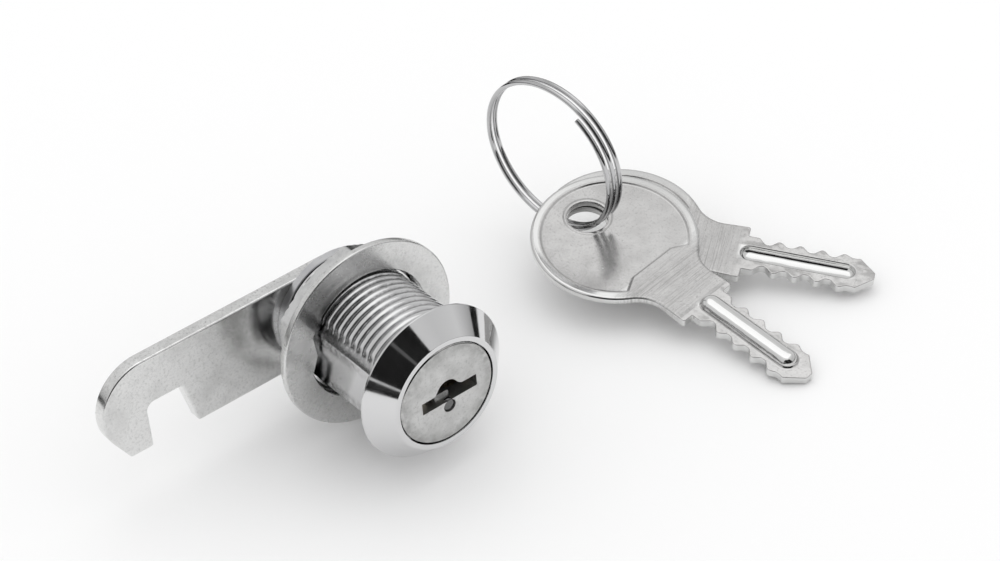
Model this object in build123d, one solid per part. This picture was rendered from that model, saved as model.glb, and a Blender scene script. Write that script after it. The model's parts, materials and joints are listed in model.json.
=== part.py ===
"""Cam lock for furniture doors and drawers, with its two keys on a split ring.

The lock lies along Y. Its origin is on the lock axis at the back face of the bezel, the face that
seats on a door panel. The keyway looks towards -Y, the threaded body points to +Y, Z is up and the
cam points to -X. The keys and their ring lie beside the lock, on the plane that the washer stands on.
"""
from math import cos, hypot, pi, radians, sin, sqrt, tan
import os

from build123d import *

# Bezel and threaded body, one zinc casting
BEZEL_R = 11.5
BEZEL_DEPTH = 3.65
BEZEL_RIM = 0.3
BEZEL_LIP = 0.75
THREAD_R = 9.25
ACROSS_FLATS = 16.0
BODY_LENGTH = 20.9
BODY_CHAMFER = 0.5
THREAD_PITCH = 1.25
THREAD_SHOWN = 2
THREAD_DEPTH = 0.42
THREAD_RUN_OUT = 0.6

# Plug, its turned face and its square tail
PLUG_R = 6.2
FACE_R = 7.65
FACE_THICKNESS = 1.6
FACE_BEVEL = 0.4
TAIL_SQUARE = 7.0
RUNNING_GAP = 0.05
FACE_GAP = 0.1

# Wafers, their springs and the grooves that they lock into
WAFER_THICKNESS = 1.3
WAFER_HEIGHT = 5.8
WAFER_OUT = 0.8
WINDOW_MARGIN = 0.12
SPRING_R = 0.55
SPRING_WIRE = 0.25
SPRING_SIDES = 12
SPRING_LENGTH = 2.9
EAR_WIDTH = 0.9
EAR_HEIGHT = 1.55
SLIDE_GAP = 0.06

# Panel washer, nut, stop washer, cam and its screw
WASHER_R = 14.0
WASHER_THICKNESS = 1.0
WASHER_BEVEL = 0.2
WASHER_HOLE_GAP = 0.4
WASHER_TAB_HEIGHTS = (4.1, 0.9, -1.8)
WASHER_PLACE = 13.65
NUT_ACROSS_FLATS = 22.3
NUT_THICKNESS = 3.75
NUT_GAP = 0.1
STOP_THICKNESS = 1.3
STOP_RIM = 9.0
STOP_RIDGE_INNER_R = 7.8
STOP_RIDGE_ANGLE = 40.0
QUARTER_TURN = 90.0
STOP_PLAY = 0.5
CAM_WIDTH = 14.4
CAM_THICKNESS = 2.0
CAM_REACH = 37.3
HOOK_INNER_X = 30.7
NOTCH_WIDTH = 5.6
NOTCH_FLARE = 1.9
NOTCH_ROOF_Z = -0.2
NOTCH_ROUNDING = 1.8
LOCK_WASHER_R = 4.1
LOCK_WASHER_THICKNESS = 0.9
LOCK_WASHER_SPLIT = 0.6
SCREW_R = 1.95
SCREW_HEAD_R = 3.9
SCREW_HEAD_HEIGHT = 2.3
SCREW_HEAD_BEVEL = 0.9
SCREW_REACH = 5.0
CROSS_WIDTH = 0.8
CROSS_LENGTH = 4.2
CROSS_DEPTH = 1.1

# Keys
BOW_R = 12.24
KEY_THICKNESS = 1.3
BOW_RIM = 1.4
BOW_RECESS = 0.25
BOW_RECESS_END = 7.5
NECK_PANEL_HALF_WIDTH = 3.95
NECK_PANEL_FLARE = (1.35, 2.4)
KEY_HOLE_R = 3.0
KEY_HOLE_PLACE = 5.4
KEY_HOLE_COLLAR = 0.8
SHOULDER_PLACE = 18.1
SHOULDER_HALF_WIDTH = 4.97
NECK_FILLET = 5.0
BLADE_LENGTH = 18.9
BLADE_HALF_WIDTH = 3.25
TIP_LENGTH = 2.85
TIP_HALF_WIDTH = 0.6
RIB_HALF_WIDTH = 1.5
RIB_HEIGHT = 1.2
RIB_LEAD = 0.9
RIB_END_GAP = 2.55
CHANNEL_HALF_WIDTH = 1.25
CHANNEL_DEPTH = 1.0
BAR_TAPER = 0.55
FIRST_CUT = 3.0
CUT_PITCH = 3.15
CUT_DEPTHS = (1.1, 0.9, 1.05, 1.0, 0.5)
CUT_ROOT_R = 0.5
CUT_HALF_MOUTH = 1.45

# Keyway in the plug
KEYWAY_Z = -0.39
KEYWAY_GAP = 0.28
KEYWAY_FILLET = 0.4
KEYWAY_SIDE_GAP = 1.37
KEYWAY_SPARE = 0.9
KEYWAY_LEAD_IN = 0.22
WARD_HALF_WIDTH = 0.85
WARD_HEIGHT = 0.6
RECESS_R = 1.1
RECESS_DEPTH = 0.8
WARD_PIN_R = 0.75
WARD_PIN_TIP_R = 0.3

# Split ring
WIRE_R = 0.375
WIRE_SIDES = 8
RING_R = 12.22
RING_PITCH = 1.18
RING_START = -25.0
RING_TURNS = 2.25
RING_TURN = 2.3
RING_LEAN = 3.4
BIARCS_PER_TURN = 4

# Where the keys lie: the front key's bow centre, the way it points and how it tilts
STACK_X = 43.22
STACK_Y = 13.13
STACK_POINTS = (0.1051, -0.9785, -0.1773)
STACK_FACES = (-0.0538, -0.1837, 0.9815)
STACK_GAP = 0.25
BACK_KEY_PLACE = (-1.05, 2.82)
BACK_KEY_ANGLE = 30.7
RING_PLACE = (-12.81, 0.0, 8.11)
FLOOR_GAP = 0.02

# Places along the lock axis
FACE_Y = -BEZEL_DEPTH
FACE_SEAT_Y = FACE_Y + FACE_THICKNESS + FACE_GAP
TAIL_Y = BODY_LENGTH + FACE_GAP
CAM_Y = TAIL_Y + STOP_THICKNESS
CAM_BACK_Y = CAM_Y + CAM_THICKNESS
SCREW_HEAD_Y = CAM_BACK_Y + LOCK_WASHER_THICKNESS
CUT_PLACES = [FIRST_CUT + CUT_PITCH * i for i in range(len(CUT_DEPTHS))]
RIB_TOP = KEY_THICKNESS / 2 + RIB_HEIGHT


def along_y(profile, start, end):
    """A profile drawn in X and Z, run from one place on the lock axis to another."""
    return Location((0, start, 0)) * extrude(Plane.XZ * profile, -(end - start))


def disc(radius, start, end):
    return along_y(Circle(radius), start, end)


def turned(points):
    """A solid turned about the lock axis, from points of radius and place along the axis."""
    return revolve(make_face(Polyline(*points, close=True)), Axis.Y)


def sector(inner_r, outer_r, from_angle, angle):
    """A piece of a ring, its angles counted from +X towards +Z."""
    reach = 2 * outer_r
    steps = [from_angle + angle * i / 4 for i in range(5)]
    fan = [(reach * cos(radians(a)), reach * sin(radians(a))) for a in steps]
    return (Circle(outer_r) - Circle(inner_r)) & make_face(Polyline((0, 0), *fan, close=True))


def double_d(radius, half_flats):
    return Circle(radius) & Rectangle(2 * half_flats, 2 * radius)


def thread_teeth():
    """The thread as a row of grooves, every second one shown: radius and place of each corner."""
    step = THREAD_PITCH * THREAD_SHOWN
    count = int((BODY_LENGTH - BODY_CHAMFER - THREAD_RUN_OUT) / step)
    teeth = []
    for i in range(count):
        place = THREAD_RUN_OUT + step * i
        teeth += [(THREAD_R, place), (THREAD_R - THREAD_DEPTH, place + THREAD_PITCH / 2),
                  (THREAD_R, place + THREAD_PITCH)]
    return teeth


def housing():
    """Bezel and threaded body: bored for the plug and grooved four ways for the wafers."""
    lip_r = FACE_R + FACE_GAP + BEZEL_LIP
    bezel = turned([(0, FACE_Y), (lip_r, FACE_Y), (BEZEL_R, -BEZEL_RIM), (BEZEL_R, 0), (0, 0)])
    body = turned([
        (0, -BEZEL_RIM), (THREAD_R, -BEZEL_RIM), *thread_teeth(), (THREAD_R, BODY_LENGTH - BODY_CHAMFER),
        (THREAD_R - BODY_CHAMFER, BODY_LENGTH), (0, BODY_LENGTH),
    ])
    flats = along_y(Rectangle(ACROSS_FLATS, 3 * THREAD_R), -BEZEL_RIM, BODY_LENGTH)
    bore = disc(PLUG_R + RUNNING_GAP, FACE_Y, BODY_LENGTH)
    seat = disc(FACE_R + FACE_GAP, FACE_Y, FACE_SEAT_Y)
    deepest = max(max(CUT_DEPTHS), WAFER_OUT)
    groove_width = WAFER_HEIGHT + 4 * SLIDE_GAP
    groove = Rectangle(2 * (PLUG_R + deepest + 2 * SLIDE_GAP), groove_width)
    grooves = along_y(groove + Rot(0, 0, 90) * groove, FACE_SEAT_Y + SLIDE_GAP, BODY_LENGTH)
    ridge_ring = sector(STOP_RIDGE_INNER_R, THREAD_R, 270 - STOP_RIDGE_ANGLE / 2, STOP_RIDGE_ANGLE)
    ridge = along_y(ridge_ring, BODY_LENGTH - 2 * BODY_CHAMFER, TAIL_Y + STOP_THICKNESS - FACE_GAP)
    return bezel + (body & flats) - bore - seat - grooves + ridge


def keyway_profile():
    """The blade's cross-section with its clearance: a flat slot and the hump that its rib needs."""
    slot_top = KEY_THICKNESS / 2 + KEYWAY_GAP
    slot = Rectangle(2 * (BLADE_HALF_WIDTH + KEYWAY_SIDE_GAP), 2 * slot_top)
    hump = Pos(0, RIB_TOP - RIB_HALF_WIDTH) * Circle(RIB_HALF_WIDTH + KEYWAY_GAP)
    profile = slot + (hump & Pos(0, RIB_TOP) * Rectangle(4 * RIB_HALF_WIDTH, 2 * RIB_TOP))
    feet = [v for v in profile.vertices() if abs(v.X) < 2 * RIB_HALF_WIDTH and v.Y > 0]
    return Pos(0, KEYWAY_Z) * fillet(feet, KEYWAY_FILLET)


def keyway():
    """The slot that the blade passes through, with its lead-in and the recess at its ward."""
    end = FACE_Y + BLADE_LENGTH + KEYWAY_SPARE
    bottom = KEYWAY_Z - KEY_THICKNESS / 2 - KEYWAY_GAP
    ward = Pos(0, bottom) * (Rectangle(2 * WARD_HALF_WIDTH, 0.8 * WARD_HEIGHT)
                             + Pos(0, WARD_HEIGHT - WARD_HALF_WIDTH) * Circle(WARD_HALF_WIDTH))
    slot = along_y(keyway_profile(), FACE_Y, end) - along_y(ward, FACE_Y + RECESS_DEPTH, end)
    mouth_half = BLADE_HALF_WIDTH + KEYWAY_SIDE_GAP + KEYWAY_LEAD_IN
    mouth = Pos(0, KEYWAY_Z) * Rectangle(2 * mouth_half, KEY_THICKNESS + 2 * KEYWAY_GAP)
    mouth = along_y(mouth, FACE_Y, FACE_Y + KEYWAY_LEAD_IN)
    recess = along_y(Pos(0, bottom - RECESS_R / 2) * Circle(RECESS_R), FACE_Y, FACE_Y + RECESS_DEPTH)
    pin = Cone(WARD_PIN_R, WARD_PIN_TIP_R, RECESS_DEPTH)
    pin = Pos(0, FACE_Y + RECESS_DEPTH / 2 + FACE_GAP, bottom - RECESS_R / 2) * Rot(90, 0, 0) * pin
    return slot + mouth + (recess - pin)


def wafer_y(index):
    return FACE_Y + CUT_PLACES[index]


def spring_side(index):
    """Wafers are sprung to +X and to -X in turn."""
    return 1 if index % 2 == 0 else -1


def plug():
    """The part that the key turns, slotted for the wafers and squared at its tail for the cam."""
    face = disc(FACE_R, FACE_Y, FACE_Y + FACE_THICKNESS)
    face = chamfer(face.edges().group_by(Axis.Y)[0], FACE_BEVEL)
    barrel = disc(PLUG_R, FACE_Y + FACE_THICKNESS / 2, TAIL_Y)
    tail_end = CAM_BACK_Y - FACE_GAP
    tail = along_y(Rectangle(TAIL_SQUARE, TAIL_SQUARE), BODY_LENGTH, tail_end)
    solid = face + barrel + tail - keyway()
    pocket_half = SPRING_LENGTH / 2 + EAR_WIDTH
    pocket_top = WAFER_HEIGHT / 2 + EAR_HEIGHT + 2 * SLIDE_GAP
    slot_width = WAFER_THICKNESS + 2 * SLIDE_GAP
    for index in range(len(CUT_DEPTHS)):
        through = Box(3 * PLUG_R, slot_width, WAFER_HEIGHT + 2 * SLIDE_GAP)
        pocket = Pos(0, 0, pocket_top / 2) * Box(2 * pocket_half, slot_width, pocket_top)
        solid -= Pos(0, wafer_y(index), 0) * (through + pocket)
    return solid - disc(SCREW_R + RUNNING_GAP, tail_end - SCREW_REACH, tail_end)


def ear_inner():
    """How far from the middle the wafer's ear meets its spring."""
    return SPRING_LENGTH / 2 + EAR_WIDTH - WAFER_OUT - EAR_WIDTH - SLIDE_GAP


def wafer(index):
    """A wafer at the shear line: the window's narrow side rides this cut of the key."""
    side = spring_side(index)
    near = BLADE_HALF_WIDTH - CUT_DEPTHS[index]
    far = BLADE_HALF_WIDTH + CUT_DEPTHS[index] + WINDOW_MARGIN
    bottom = KEYWAY_Z - KEY_THICKNESS / 2 - KEYWAY_GAP - WINDOW_MARGIN
    top = KEYWAY_Z + RIB_TOP + KEYWAY_GAP + WINDOW_MARGIN
    blank = Circle(PLUG_R - SLIDE_GAP) & Rectangle(3 * PLUG_R, WAFER_HEIGHT)
    window = Pos(side * (far - near) / 2, (top + bottom) / 2) * Rectangle(near + far, top - bottom)
    ear = Pos(side * (ear_inner() + EAR_WIDTH / 2), (WAFER_HEIGHT + EAR_HEIGHT) / 2 - EAR_HEIGHT / 4)
    ear *= Rectangle(EAR_WIDTH, EAR_HEIGHT * 1.5)
    middle = wafer_y(index)
    return along_y(blank + ear - window, middle - WAFER_THICKNESS / 2, middle + WAFER_THICKNESS / 2)


def wafer_spring(index):
    """The small spring beside a wafer, as a sleeve of the coil's size."""
    side = spring_side(index)
    start = SPRING_LENGTH / 2 + EAR_WIDTH - SLIDE_GAP
    length = start + ear_inner() - SLIDE_GAP
    section = RegularPolygon(SPRING_R, SPRING_SIDES) - RegularPolygon(SPRING_R - SPRING_WIRE, SPRING_SIDES)
    sleeve = extrude(section, length / 2, both=True)
    height = WAFER_HEIGHT / 2 + EAR_HEIGHT / 2 + SLIDE_GAP
    middle = side * (ear_inner() - SLIDE_GAP - length / 2)
    return Pos(middle, wafer_y(index), height) * Rot(0, 90, 0) * sleeve


def foot_x(height):
    """Where the washer's hole has a height, on the side of -X."""
    return -sqrt((THREAD_R + WASHER_HOLE_GAP) ** 2 - height ** 2)


def panel_washer():
    """Large washer that the nut presses on the panel, with a pointed tab at each flat of the body."""
    top, point, foot = WASHER_TAB_HEIGHTS
    outside = THREAD_R + 2 * WASHER_HOLE_GAP
    tab = make_face(Polyline(
        (-outside, top + 1), (-outside, foot - 1), (foot_x(foot), foot), (-ACROSS_FLATS / 2 - WASHER_HOLE_GAP, point),
        (foot_x(top), top), close=True))
    hole = Circle(THREAD_R + WASHER_HOLE_GAP) - tab - Rot(0, 0, 180) * tab
    plate = disc(WASHER_R, WASHER_PLACE, WASHER_PLACE + WASHER_THICKNESS)
    plate = chamfer(plate.edges().filter_by(GeomType.CIRCLE), WASHER_BEVEL)
    return plate - along_y(hole, WASHER_PLACE, WASHER_PLACE + WASHER_THICKNESS)


def hex_nut():
    """Hexagon nut behind the washer, with its corners turned off on both faces."""
    start = WASHER_PLACE + WASHER_THICKNESS + NUT_GAP
    end = start + NUT_THICKNESS
    flat_r = NUT_ACROSS_FLATS / 2
    corner_r = flat_r / cos(radians(30))
    bevel = (corner_r - flat_r) * tan(radians(30)) + 0.1
    hexagon = along_y(Rot(0, 0, 30) * RegularPolygon(corner_r, 6), start, end)
    rounded = turned([
        (0, start), (flat_r, start), (corner_r, start + bevel), (corner_r, end - bevel), (flat_r, end), (0, end),
    ])
    return (hexagon & rounded) - disc(THREAD_R + RUNNING_GAP, start, end)


def square_hole(start, end):
    width = TAIL_SQUARE + 2 * RUNNING_GAP
    return along_y(Rectangle(width, width), start, end)


def stop_washer():
    """Washer on the plug's square tail; its cut-out lets the body's ridge pass for a quarter turn."""
    cut_from = 270 - STOP_RIDGE_ANGLE / 2 - STOP_PLAY
    cut = sector(STOP_RIDGE_INNER_R - FACE_GAP, 2 * THREAD_R, cut_from,
                 STOP_RIDGE_ANGLE + QUARTER_TURN + 2 * STOP_PLAY)
    return along_y(Circle(STOP_RIM) - cut, TAIL_Y, CAM_Y) - square_hole(TAIL_Y, CAM_Y)


def cam():
    """Flat hooked cam: a bar with round ends, notched from below near its tip."""
    half = CAM_WIDTH / 2
    tip_x = half - CAM_REACH
    bar = Circle(half) + Pos(tip_x, 0) * Circle(half) + Pos(tip_x / 2, 0) * Rectangle(-tip_x, CAM_WIDTH)
    heel = half * 0.55
    bar += Pos(tip_x - heel / 2, -half * 0.75) * Rectangle(heel, half / 2)
    roof_end = NOTCH_WIDTH - HOOK_INNER_X
    notch = make_face(Polyline(
        (-HOOK_INNER_X, -CAM_WIDTH), (-HOOK_INNER_X, NOTCH_ROOF_Z), (roof_end, NOTCH_ROOF_Z),
        (roof_end + NOTCH_FLARE, -half), (roof_end + NOTCH_FLARE, -CAM_WIDTH), close=True))
    notch = fillet(notch.vertices().group_by(Axis.Y)[-1], NOTCH_ROUNDING)
    plate = along_y(bar - notch, CAM_Y, CAM_BACK_Y)
    return plate - square_hole(CAM_Y, CAM_BACK_Y)


def lock_washer():
    """Spring washer under the screw's head, split at one side."""
    ring = Circle(LOCK_WASHER_R) - Circle(SCREW_R + RUNNING_GAP)
    split = Pos(0, LOCK_WASHER_R / 2) * Rectangle(LOCK_WASHER_SPLIT, 2 * LOCK_WASHER_R)
    split = split & Pos(0, LOCK_WASHER_R) * Rectangle(LOCK_WASHER_R, 2 * LOCK_WASHER_R)
    return along_y(ring - split, CAM_BACK_Y, SCREW_HEAD_Y)


def cam_screw():
    """Pan-head screw with a cross recess that holds the cam on the plug."""
    end = SCREW_HEAD_Y + SCREW_HEAD_HEIGHT
    head = chamfer(disc(SCREW_HEAD_R, SCREW_HEAD_Y, end).edges().group_by(Axis.Y)[-1], SCREW_HEAD_BEVEL)
    shank = disc(SCREW_R, CAM_BACK_Y - FACE_GAP - SCREW_REACH + RUNNING_GAP, SCREW_HEAD_Y)
    cross = Rectangle(CROSS_LENGTH, CROSS_WIDTH) + Rectangle(CROSS_WIDTH, CROSS_LENGTH)
    return head + shank - along_y(cross, end - CROSS_DEPTH, end)


def blade_outline():
    """The bitted blade from its shoulder to its tip, cut alike along both edges."""
    end = SHOULDER_PLACE + BLADE_LENGTH
    outline = make_face(Polyline(
        (SHOULDER_PLACE - 1, -BLADE_HALF_WIDTH), (end - TIP_LENGTH, -BLADE_HALF_WIDTH), (end, -TIP_HALF_WIDTH),
        (end, TIP_HALF_WIDTH), (end - TIP_LENGTH, BLADE_HALF_WIDTH), (SHOULDER_PLACE - 1, BLADE_HALF_WIDTH),
        close=True))
    outline = fillet(outline.vertices().group_by(Axis.X)[-1], TIP_HALF_WIDTH / 2)
    for place, depth in zip(CUT_PLACES, CUT_DEPTHS):
        for side in (-1, 1):
            root = Pos(SHOULDER_PLACE + place, side * (BLADE_HALF_WIDTH - depth + CUT_ROOT_R)) * Circle(CUT_ROOT_R)
            mouth = Pos(SHOULDER_PLACE + place, side * (BLADE_HALF_WIDTH + CUT_ROOT_R)) * Rectangle(
                2 * CUT_HALF_MOUTH, CUT_ROOT_R)
            outline -= make_hull(root.edges() + mouth.edges())
    return outline


def neck_panel():
    """The raised end of the neck, which ends the bow's sunk field with a flared edge."""
    flare_x = BOW_RECESS_END + NECK_PANEL_FLARE[0]
    flare_y = NECK_PANEL_HALF_WIDTH + NECK_PANEL_FLARE[1]
    return make_face(Polyline(
        (BOW_RECESS_END, -NECK_PANEL_HALF_WIDTH), (flare_x, -flare_y), (2 * BOW_R, -flare_y), (2 * BOW_R, flare_y),
        (flare_x, flare_y), (BOW_RECESS_END, NECK_PANEL_HALF_WIDTH), close=True))


def key():
    """One key, flat in X and Y with its bow's centre at the origin and its blade towards +X."""
    neck_start = sqrt(BOW_R ** 2 - (SHOULDER_HALF_WIDTH + NECK_FILLET / 2) ** 2)
    neck = make_face(Polyline(
        (0, -SHOULDER_HALF_WIDTH), (SHOULDER_PLACE, -SHOULDER_HALF_WIDTH), (SHOULDER_PLACE, SHOULDER_HALF_WIDTH),
        (0, SHOULDER_HALF_WIDTH), close=True))
    bow = Circle(BOW_R) + neck
    waist = [v for v in bow.vertices() if neck_start - NECK_FILLET < v.X < SHOULDER_PLACE - 1]
    bow = fillet(waist, NECK_FILLET)
    field = (Circle(BOW_R - BOW_RIM) - neck_panel()) - Pos(-KEY_HOLE_PLACE, 0) * Circle(
        KEY_HOLE_R + KEY_HOLE_COLLAR)
    solid = extrude(bow + blade_outline(), KEY_THICKNESS / 2, both=True)
    for side in (-1, 1):
        depth = Pos(0, 0, side * (KEY_THICKNESS - BOW_RECESS) / 2)
        solid -= depth * extrude(field, BOW_RECESS / 2 + 0.001, both=True)
    rib_start = SHOULDER_PLACE - RIB_LEAD
    rib_end = SHOULDER_PLACE + BLADE_LENGTH - RIB_END_GAP
    rib = Pos(0, 0, RIB_TOP - RIB_HALF_WIDTH) * round_bar(rib_start, rib_end, RIB_HALF_WIDTH)
    solid += rib & Pos((rib_start + rib_end) / 2, 0, RIB_TOP) * Box(rib_end, BOW_R, 2 * RIB_TOP)
    channel_z = CHANNEL_DEPTH - CHANNEL_HALF_WIDTH - KEY_THICKNESS / 2
    inset = RIB_HALF_WIDTH - CHANNEL_HALF_WIDTH
    solid -= Pos(0, 0, channel_z) * round_bar(rib_start + inset, rib_end - inset, CHANNEL_HALF_WIDTH)
    hole = Pos(-KEY_HOLE_PLACE, 0) * Circle(KEY_HOLE_R)
    return solid - extrude(hole, KEY_THICKNESS, both=True)


def round_bar(start, end, radius):
    """A bar along X whose ends taper like a bullet."""
    bar = Cylinder(radius, end - start)
    bar = chamfer(bar.edges().filter_by(GeomType.CIRCLE), radius * BAR_TAPER)
    return Pos((start + end) / 2, 0) * Rot(0, 90, 0) * bar


def ring_axes():
    """The split ring's own frame: turned and leant a little from square to the keys."""
    return Pos(*RING_PLACE) * Rot(0, 0, RING_TURN) * Rot(90 - RING_LEAN, 0, 0)


def ring_point(turn):
    """A point on the wire's middle line and the way it runs there, after so many turns."""
    mean_r = RING_R - WIRE_R
    angle = radians(RING_START) + 2 * pi * turn
    rise = RING_PITCH * (turn - RING_TURNS / 2)
    slope = RING_PITCH / (2 * pi)
    length = hypot(mean_r, slope)
    point = Vector(mean_r * cos(angle), mean_r * sin(angle), rise)
    tangent = Vector(-mean_r * sin(angle) / length, mean_r * cos(angle) / length, slope / length)
    return point, tangent


def arc_from(start, tangent, end):
    """The arc that leaves one point along a tangent and ends at another."""
    chord = end - start
    along = chord.normalized()
    across = (tangent - along * tangent.dot(along)).normalized()
    angle = radians(tangent.get_angle(chord))
    middle = (start + end) * 0.5 + across * (chord.length / 2 * tan(angle / 2))
    return ThreePointArc(start, middle, end)


def biarc(start, start_tangent, end, end_tangent):
    """Two arcs that meet smoothly and match the tangents at both ends."""
    gap = end - start
    both = start_tangent + end_tangent
    spread = 2 * (1 - start_tangent.dot(end_tangent))
    reach = (sqrt(gap.dot(both) ** 2 + spread * gap.dot(gap)) - gap.dot(both)) / spread
    joint = (start + end + (start_tangent - end_tangent) * reach) * 0.5
    first = arc_from(start, start_tangent, joint)
    second = arc_from(end, end_tangent * -1, joint)
    return [first, second]


def split_ring():
    """Steel ring of over two turns, one unbroken wire with two cut ends."""
    count = round(RING_TURNS * BIARCS_PER_TURN)
    arcs = []
    for i in range(count):
        start = ring_point(RING_TURNS * i / count)
        end = ring_point(RING_TURNS * (i + 1) / count)
        arcs += biarc(*start, *end)
    path = Wire(arcs)
    first, heading = ring_point(0)
    section = Plane(origin=first, z_dir=heading) * RegularPolygon(WIRE_R, WIRE_SIDES)
    wire = sweep(section, path)
    samples = [ring_point(RING_TURNS * i / 900)[0] for i in range(901)]
    turn_steps = int(900 / RING_TURNS / 2)
    least = min((samples[i] - samples[j]).length
                for i in range(0, 901, 3) for j in range(i + turn_steps, 901, 3))
    print(f"split ring: least gap to itself {least - 2 * WIRE_R:.3f} mm,"
          f" volume over section times length {wire.volume / (section.area * path.length):.4f}")
    return wire


def keys_and_ring():
    """The two keys, one on the other and turned over, threaded on the ring and set on the floor."""
    stack = Plane(origin=(STACK_X, STACK_Y, 0), x_dir=STACK_POINTS, z_dir=STACK_FACES).location
    below = Location((*BACK_KEY_PLACE, -KEY_THICKNESS - STACK_GAP), (0, 0, BACK_KEY_ANGLE))
    blank = key()
    pieces = {
        "key_front": stack * blank,
        "key_back": stack * below * Rot(180, 0, 0) * blank,
        "split_ring": stack * ring_axes() * split_ring(),
    }
    lowest = min(piece.bounding_box().min.Z for piece in pieces.values())
    lift = Pos(0, 0, FLOOR_GAP - WASHER_R - lowest)
    swing = Plane(lift * stack * ring_axes())
    print(f"the keys swing about {swing.origin} along {swing.z_dir}")
    return {name: lift * piece for name, piece in pieces.items()}


def lock_parts():
    parts = {"housing": housing(), "plug": plug()}
    for index in range(len(CUT_DEPTHS)):
        parts[f"wafer_{index + 1}"] = wafer(index)
        parts[f"wafer_spring_{index + 1}"] = wafer_spring(index)
    parts["panel_washer"] = panel_washer()
    parts["hex_nut"] = hex_nut()
    parts["stop_washer"] = stop_washer()
    parts["cam"] = cam()
    parts["lock_washer"] = lock_washer()
    parts["cam_screw"] = cam_screw()
    return parts


os.makedirs("parts", exist_ok=True)
for name, solid in {**lock_parts(), **keys_and_ring()}.items():
    export_step(solid, f"parts/{name}.step")
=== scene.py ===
"""Dresses a packed cam lock, its two keys and their split ring, and lights them for a picture.

Every piece is built in metres in the lock's own frame: the origin is on the lock's axis at the back
of the bezel, the keyway looks towards -Y, Z is up and the cam points to -X.
"""

import json
import math

import bmesh
import bpy
import numpy as np
from mathutils import Matrix, Vector
from mathutils.geometry import delaunay_2d_cdt


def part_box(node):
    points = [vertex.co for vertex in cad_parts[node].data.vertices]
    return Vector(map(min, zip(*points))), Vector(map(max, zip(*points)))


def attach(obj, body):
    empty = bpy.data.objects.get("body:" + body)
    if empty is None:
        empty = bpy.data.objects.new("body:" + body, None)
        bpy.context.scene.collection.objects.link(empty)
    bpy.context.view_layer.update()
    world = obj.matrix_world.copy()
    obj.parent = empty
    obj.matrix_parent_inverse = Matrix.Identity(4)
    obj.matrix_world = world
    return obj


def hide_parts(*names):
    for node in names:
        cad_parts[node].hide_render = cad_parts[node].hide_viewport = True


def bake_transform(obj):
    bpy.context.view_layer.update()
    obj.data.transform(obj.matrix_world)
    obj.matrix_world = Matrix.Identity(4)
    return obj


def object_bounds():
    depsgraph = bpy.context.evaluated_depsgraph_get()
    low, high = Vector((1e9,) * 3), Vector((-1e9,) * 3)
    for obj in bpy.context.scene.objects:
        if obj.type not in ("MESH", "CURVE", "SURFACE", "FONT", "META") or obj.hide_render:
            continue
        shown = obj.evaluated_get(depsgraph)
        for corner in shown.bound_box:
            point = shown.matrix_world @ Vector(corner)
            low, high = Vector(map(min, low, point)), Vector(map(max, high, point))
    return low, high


bl_info = {
    "name": "Furniture Lock",
    "version": (1, 0, 0),
    "blender": (4, 5, 0),
    "location": "3D View > Sidebar > Furniture Lock",
    "description": "Builds the finished surfaces of a cam lock with its keys",
    "category": "Object",
}

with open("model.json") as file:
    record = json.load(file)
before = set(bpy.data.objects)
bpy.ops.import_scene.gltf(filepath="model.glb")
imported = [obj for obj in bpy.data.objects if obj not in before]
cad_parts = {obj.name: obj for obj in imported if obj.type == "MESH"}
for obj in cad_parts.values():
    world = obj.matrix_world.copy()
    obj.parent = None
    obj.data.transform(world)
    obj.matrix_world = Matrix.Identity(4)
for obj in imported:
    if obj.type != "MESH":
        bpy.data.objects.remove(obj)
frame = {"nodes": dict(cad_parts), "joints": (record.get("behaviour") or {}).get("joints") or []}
CAD_BOX = [list(corner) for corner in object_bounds()]


def mm(value):
    """Millimetres as metres."""
    return value * 0.001


# Places along the lock's axis
FACE_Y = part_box("housing")[0][1]
FACE_SEAT_Y = FACE_Y + mm(1.7)
BODY_END_Y = mm(20.9)
STOP_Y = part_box("stop_washer")[0][1]
CAM_Y, CAM_BACK_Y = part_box("cam")[0][1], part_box("cam")[1][1]
HEAD_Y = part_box("lock_washer")[1][1]
TAIL_END_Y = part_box("plug")[1][1]

# Radii and half widths of the lock
BEZEL_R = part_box("housing")[1][0]
LIP_R = mm(8.5)
THREAD_R = mm(9.25)
HALF_FLATS = mm(8.0)
SEAT_R = mm(7.75)
FACE_R = mm(7.65)
BEZEL_RIM = mm(0.3)
BORE_R = mm(6.25)
PLUG_R = mm(6.2)
GROOVE_R, GROOVE_HALF = mm(7.37), mm(3.02)
RIDGE_INNER_R = mm(7.8)
TAIL_HALF = mm(3.5)
HOLE_HALF = TAIL_HALF + mm(0.05)
SQUARE_CORNERS = (45.0, 135.0, 225.0, 315.0)
FULL_TURN = 2 * math.pi

# Flat strip beside a rounded edge, so that the face next to it stays flat in shading
BESIDE = mm(0.06)

# Keeps a division from failing, and how far an angle may miss the one it is compared with
TINY, ANGLE_SLACK = 1e-9, 1e-6


class LockSizes(bpy.types.PropertyGroup):
    """Sizes of the lock's finished surfaces."""
    thread_pitch: bpy.props.FloatProperty(
        name="Thread pitch", description="Distance from one thread crest to the next",
        default=mm(1.25), min=mm(0.8), unit="LENGTH")
    thread_depth: bpy.props.FloatProperty(
        name="Thread depth", description="Depth of the thread below its crest",
        default=mm(0.46), min=mm(0.2), unit="LENGTH")
    edge: bpy.props.FloatProperty(
        name="Edge rounding", description="Radius on the lock's turned edges",
        default=mm(0.14), min=mm(0.02), unit="LENGTH")
    face_rounding: bpy.props.FloatProperty(
        name="Face rounding", description="Radius round the rim of the plug's face",
        default=mm(0.42), min=mm(0.1), unit="LENGTH")
    segments: bpy.props.IntProperty(
        name="Segments", description="Corners round a turned piece", default=216, min=48)


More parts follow.
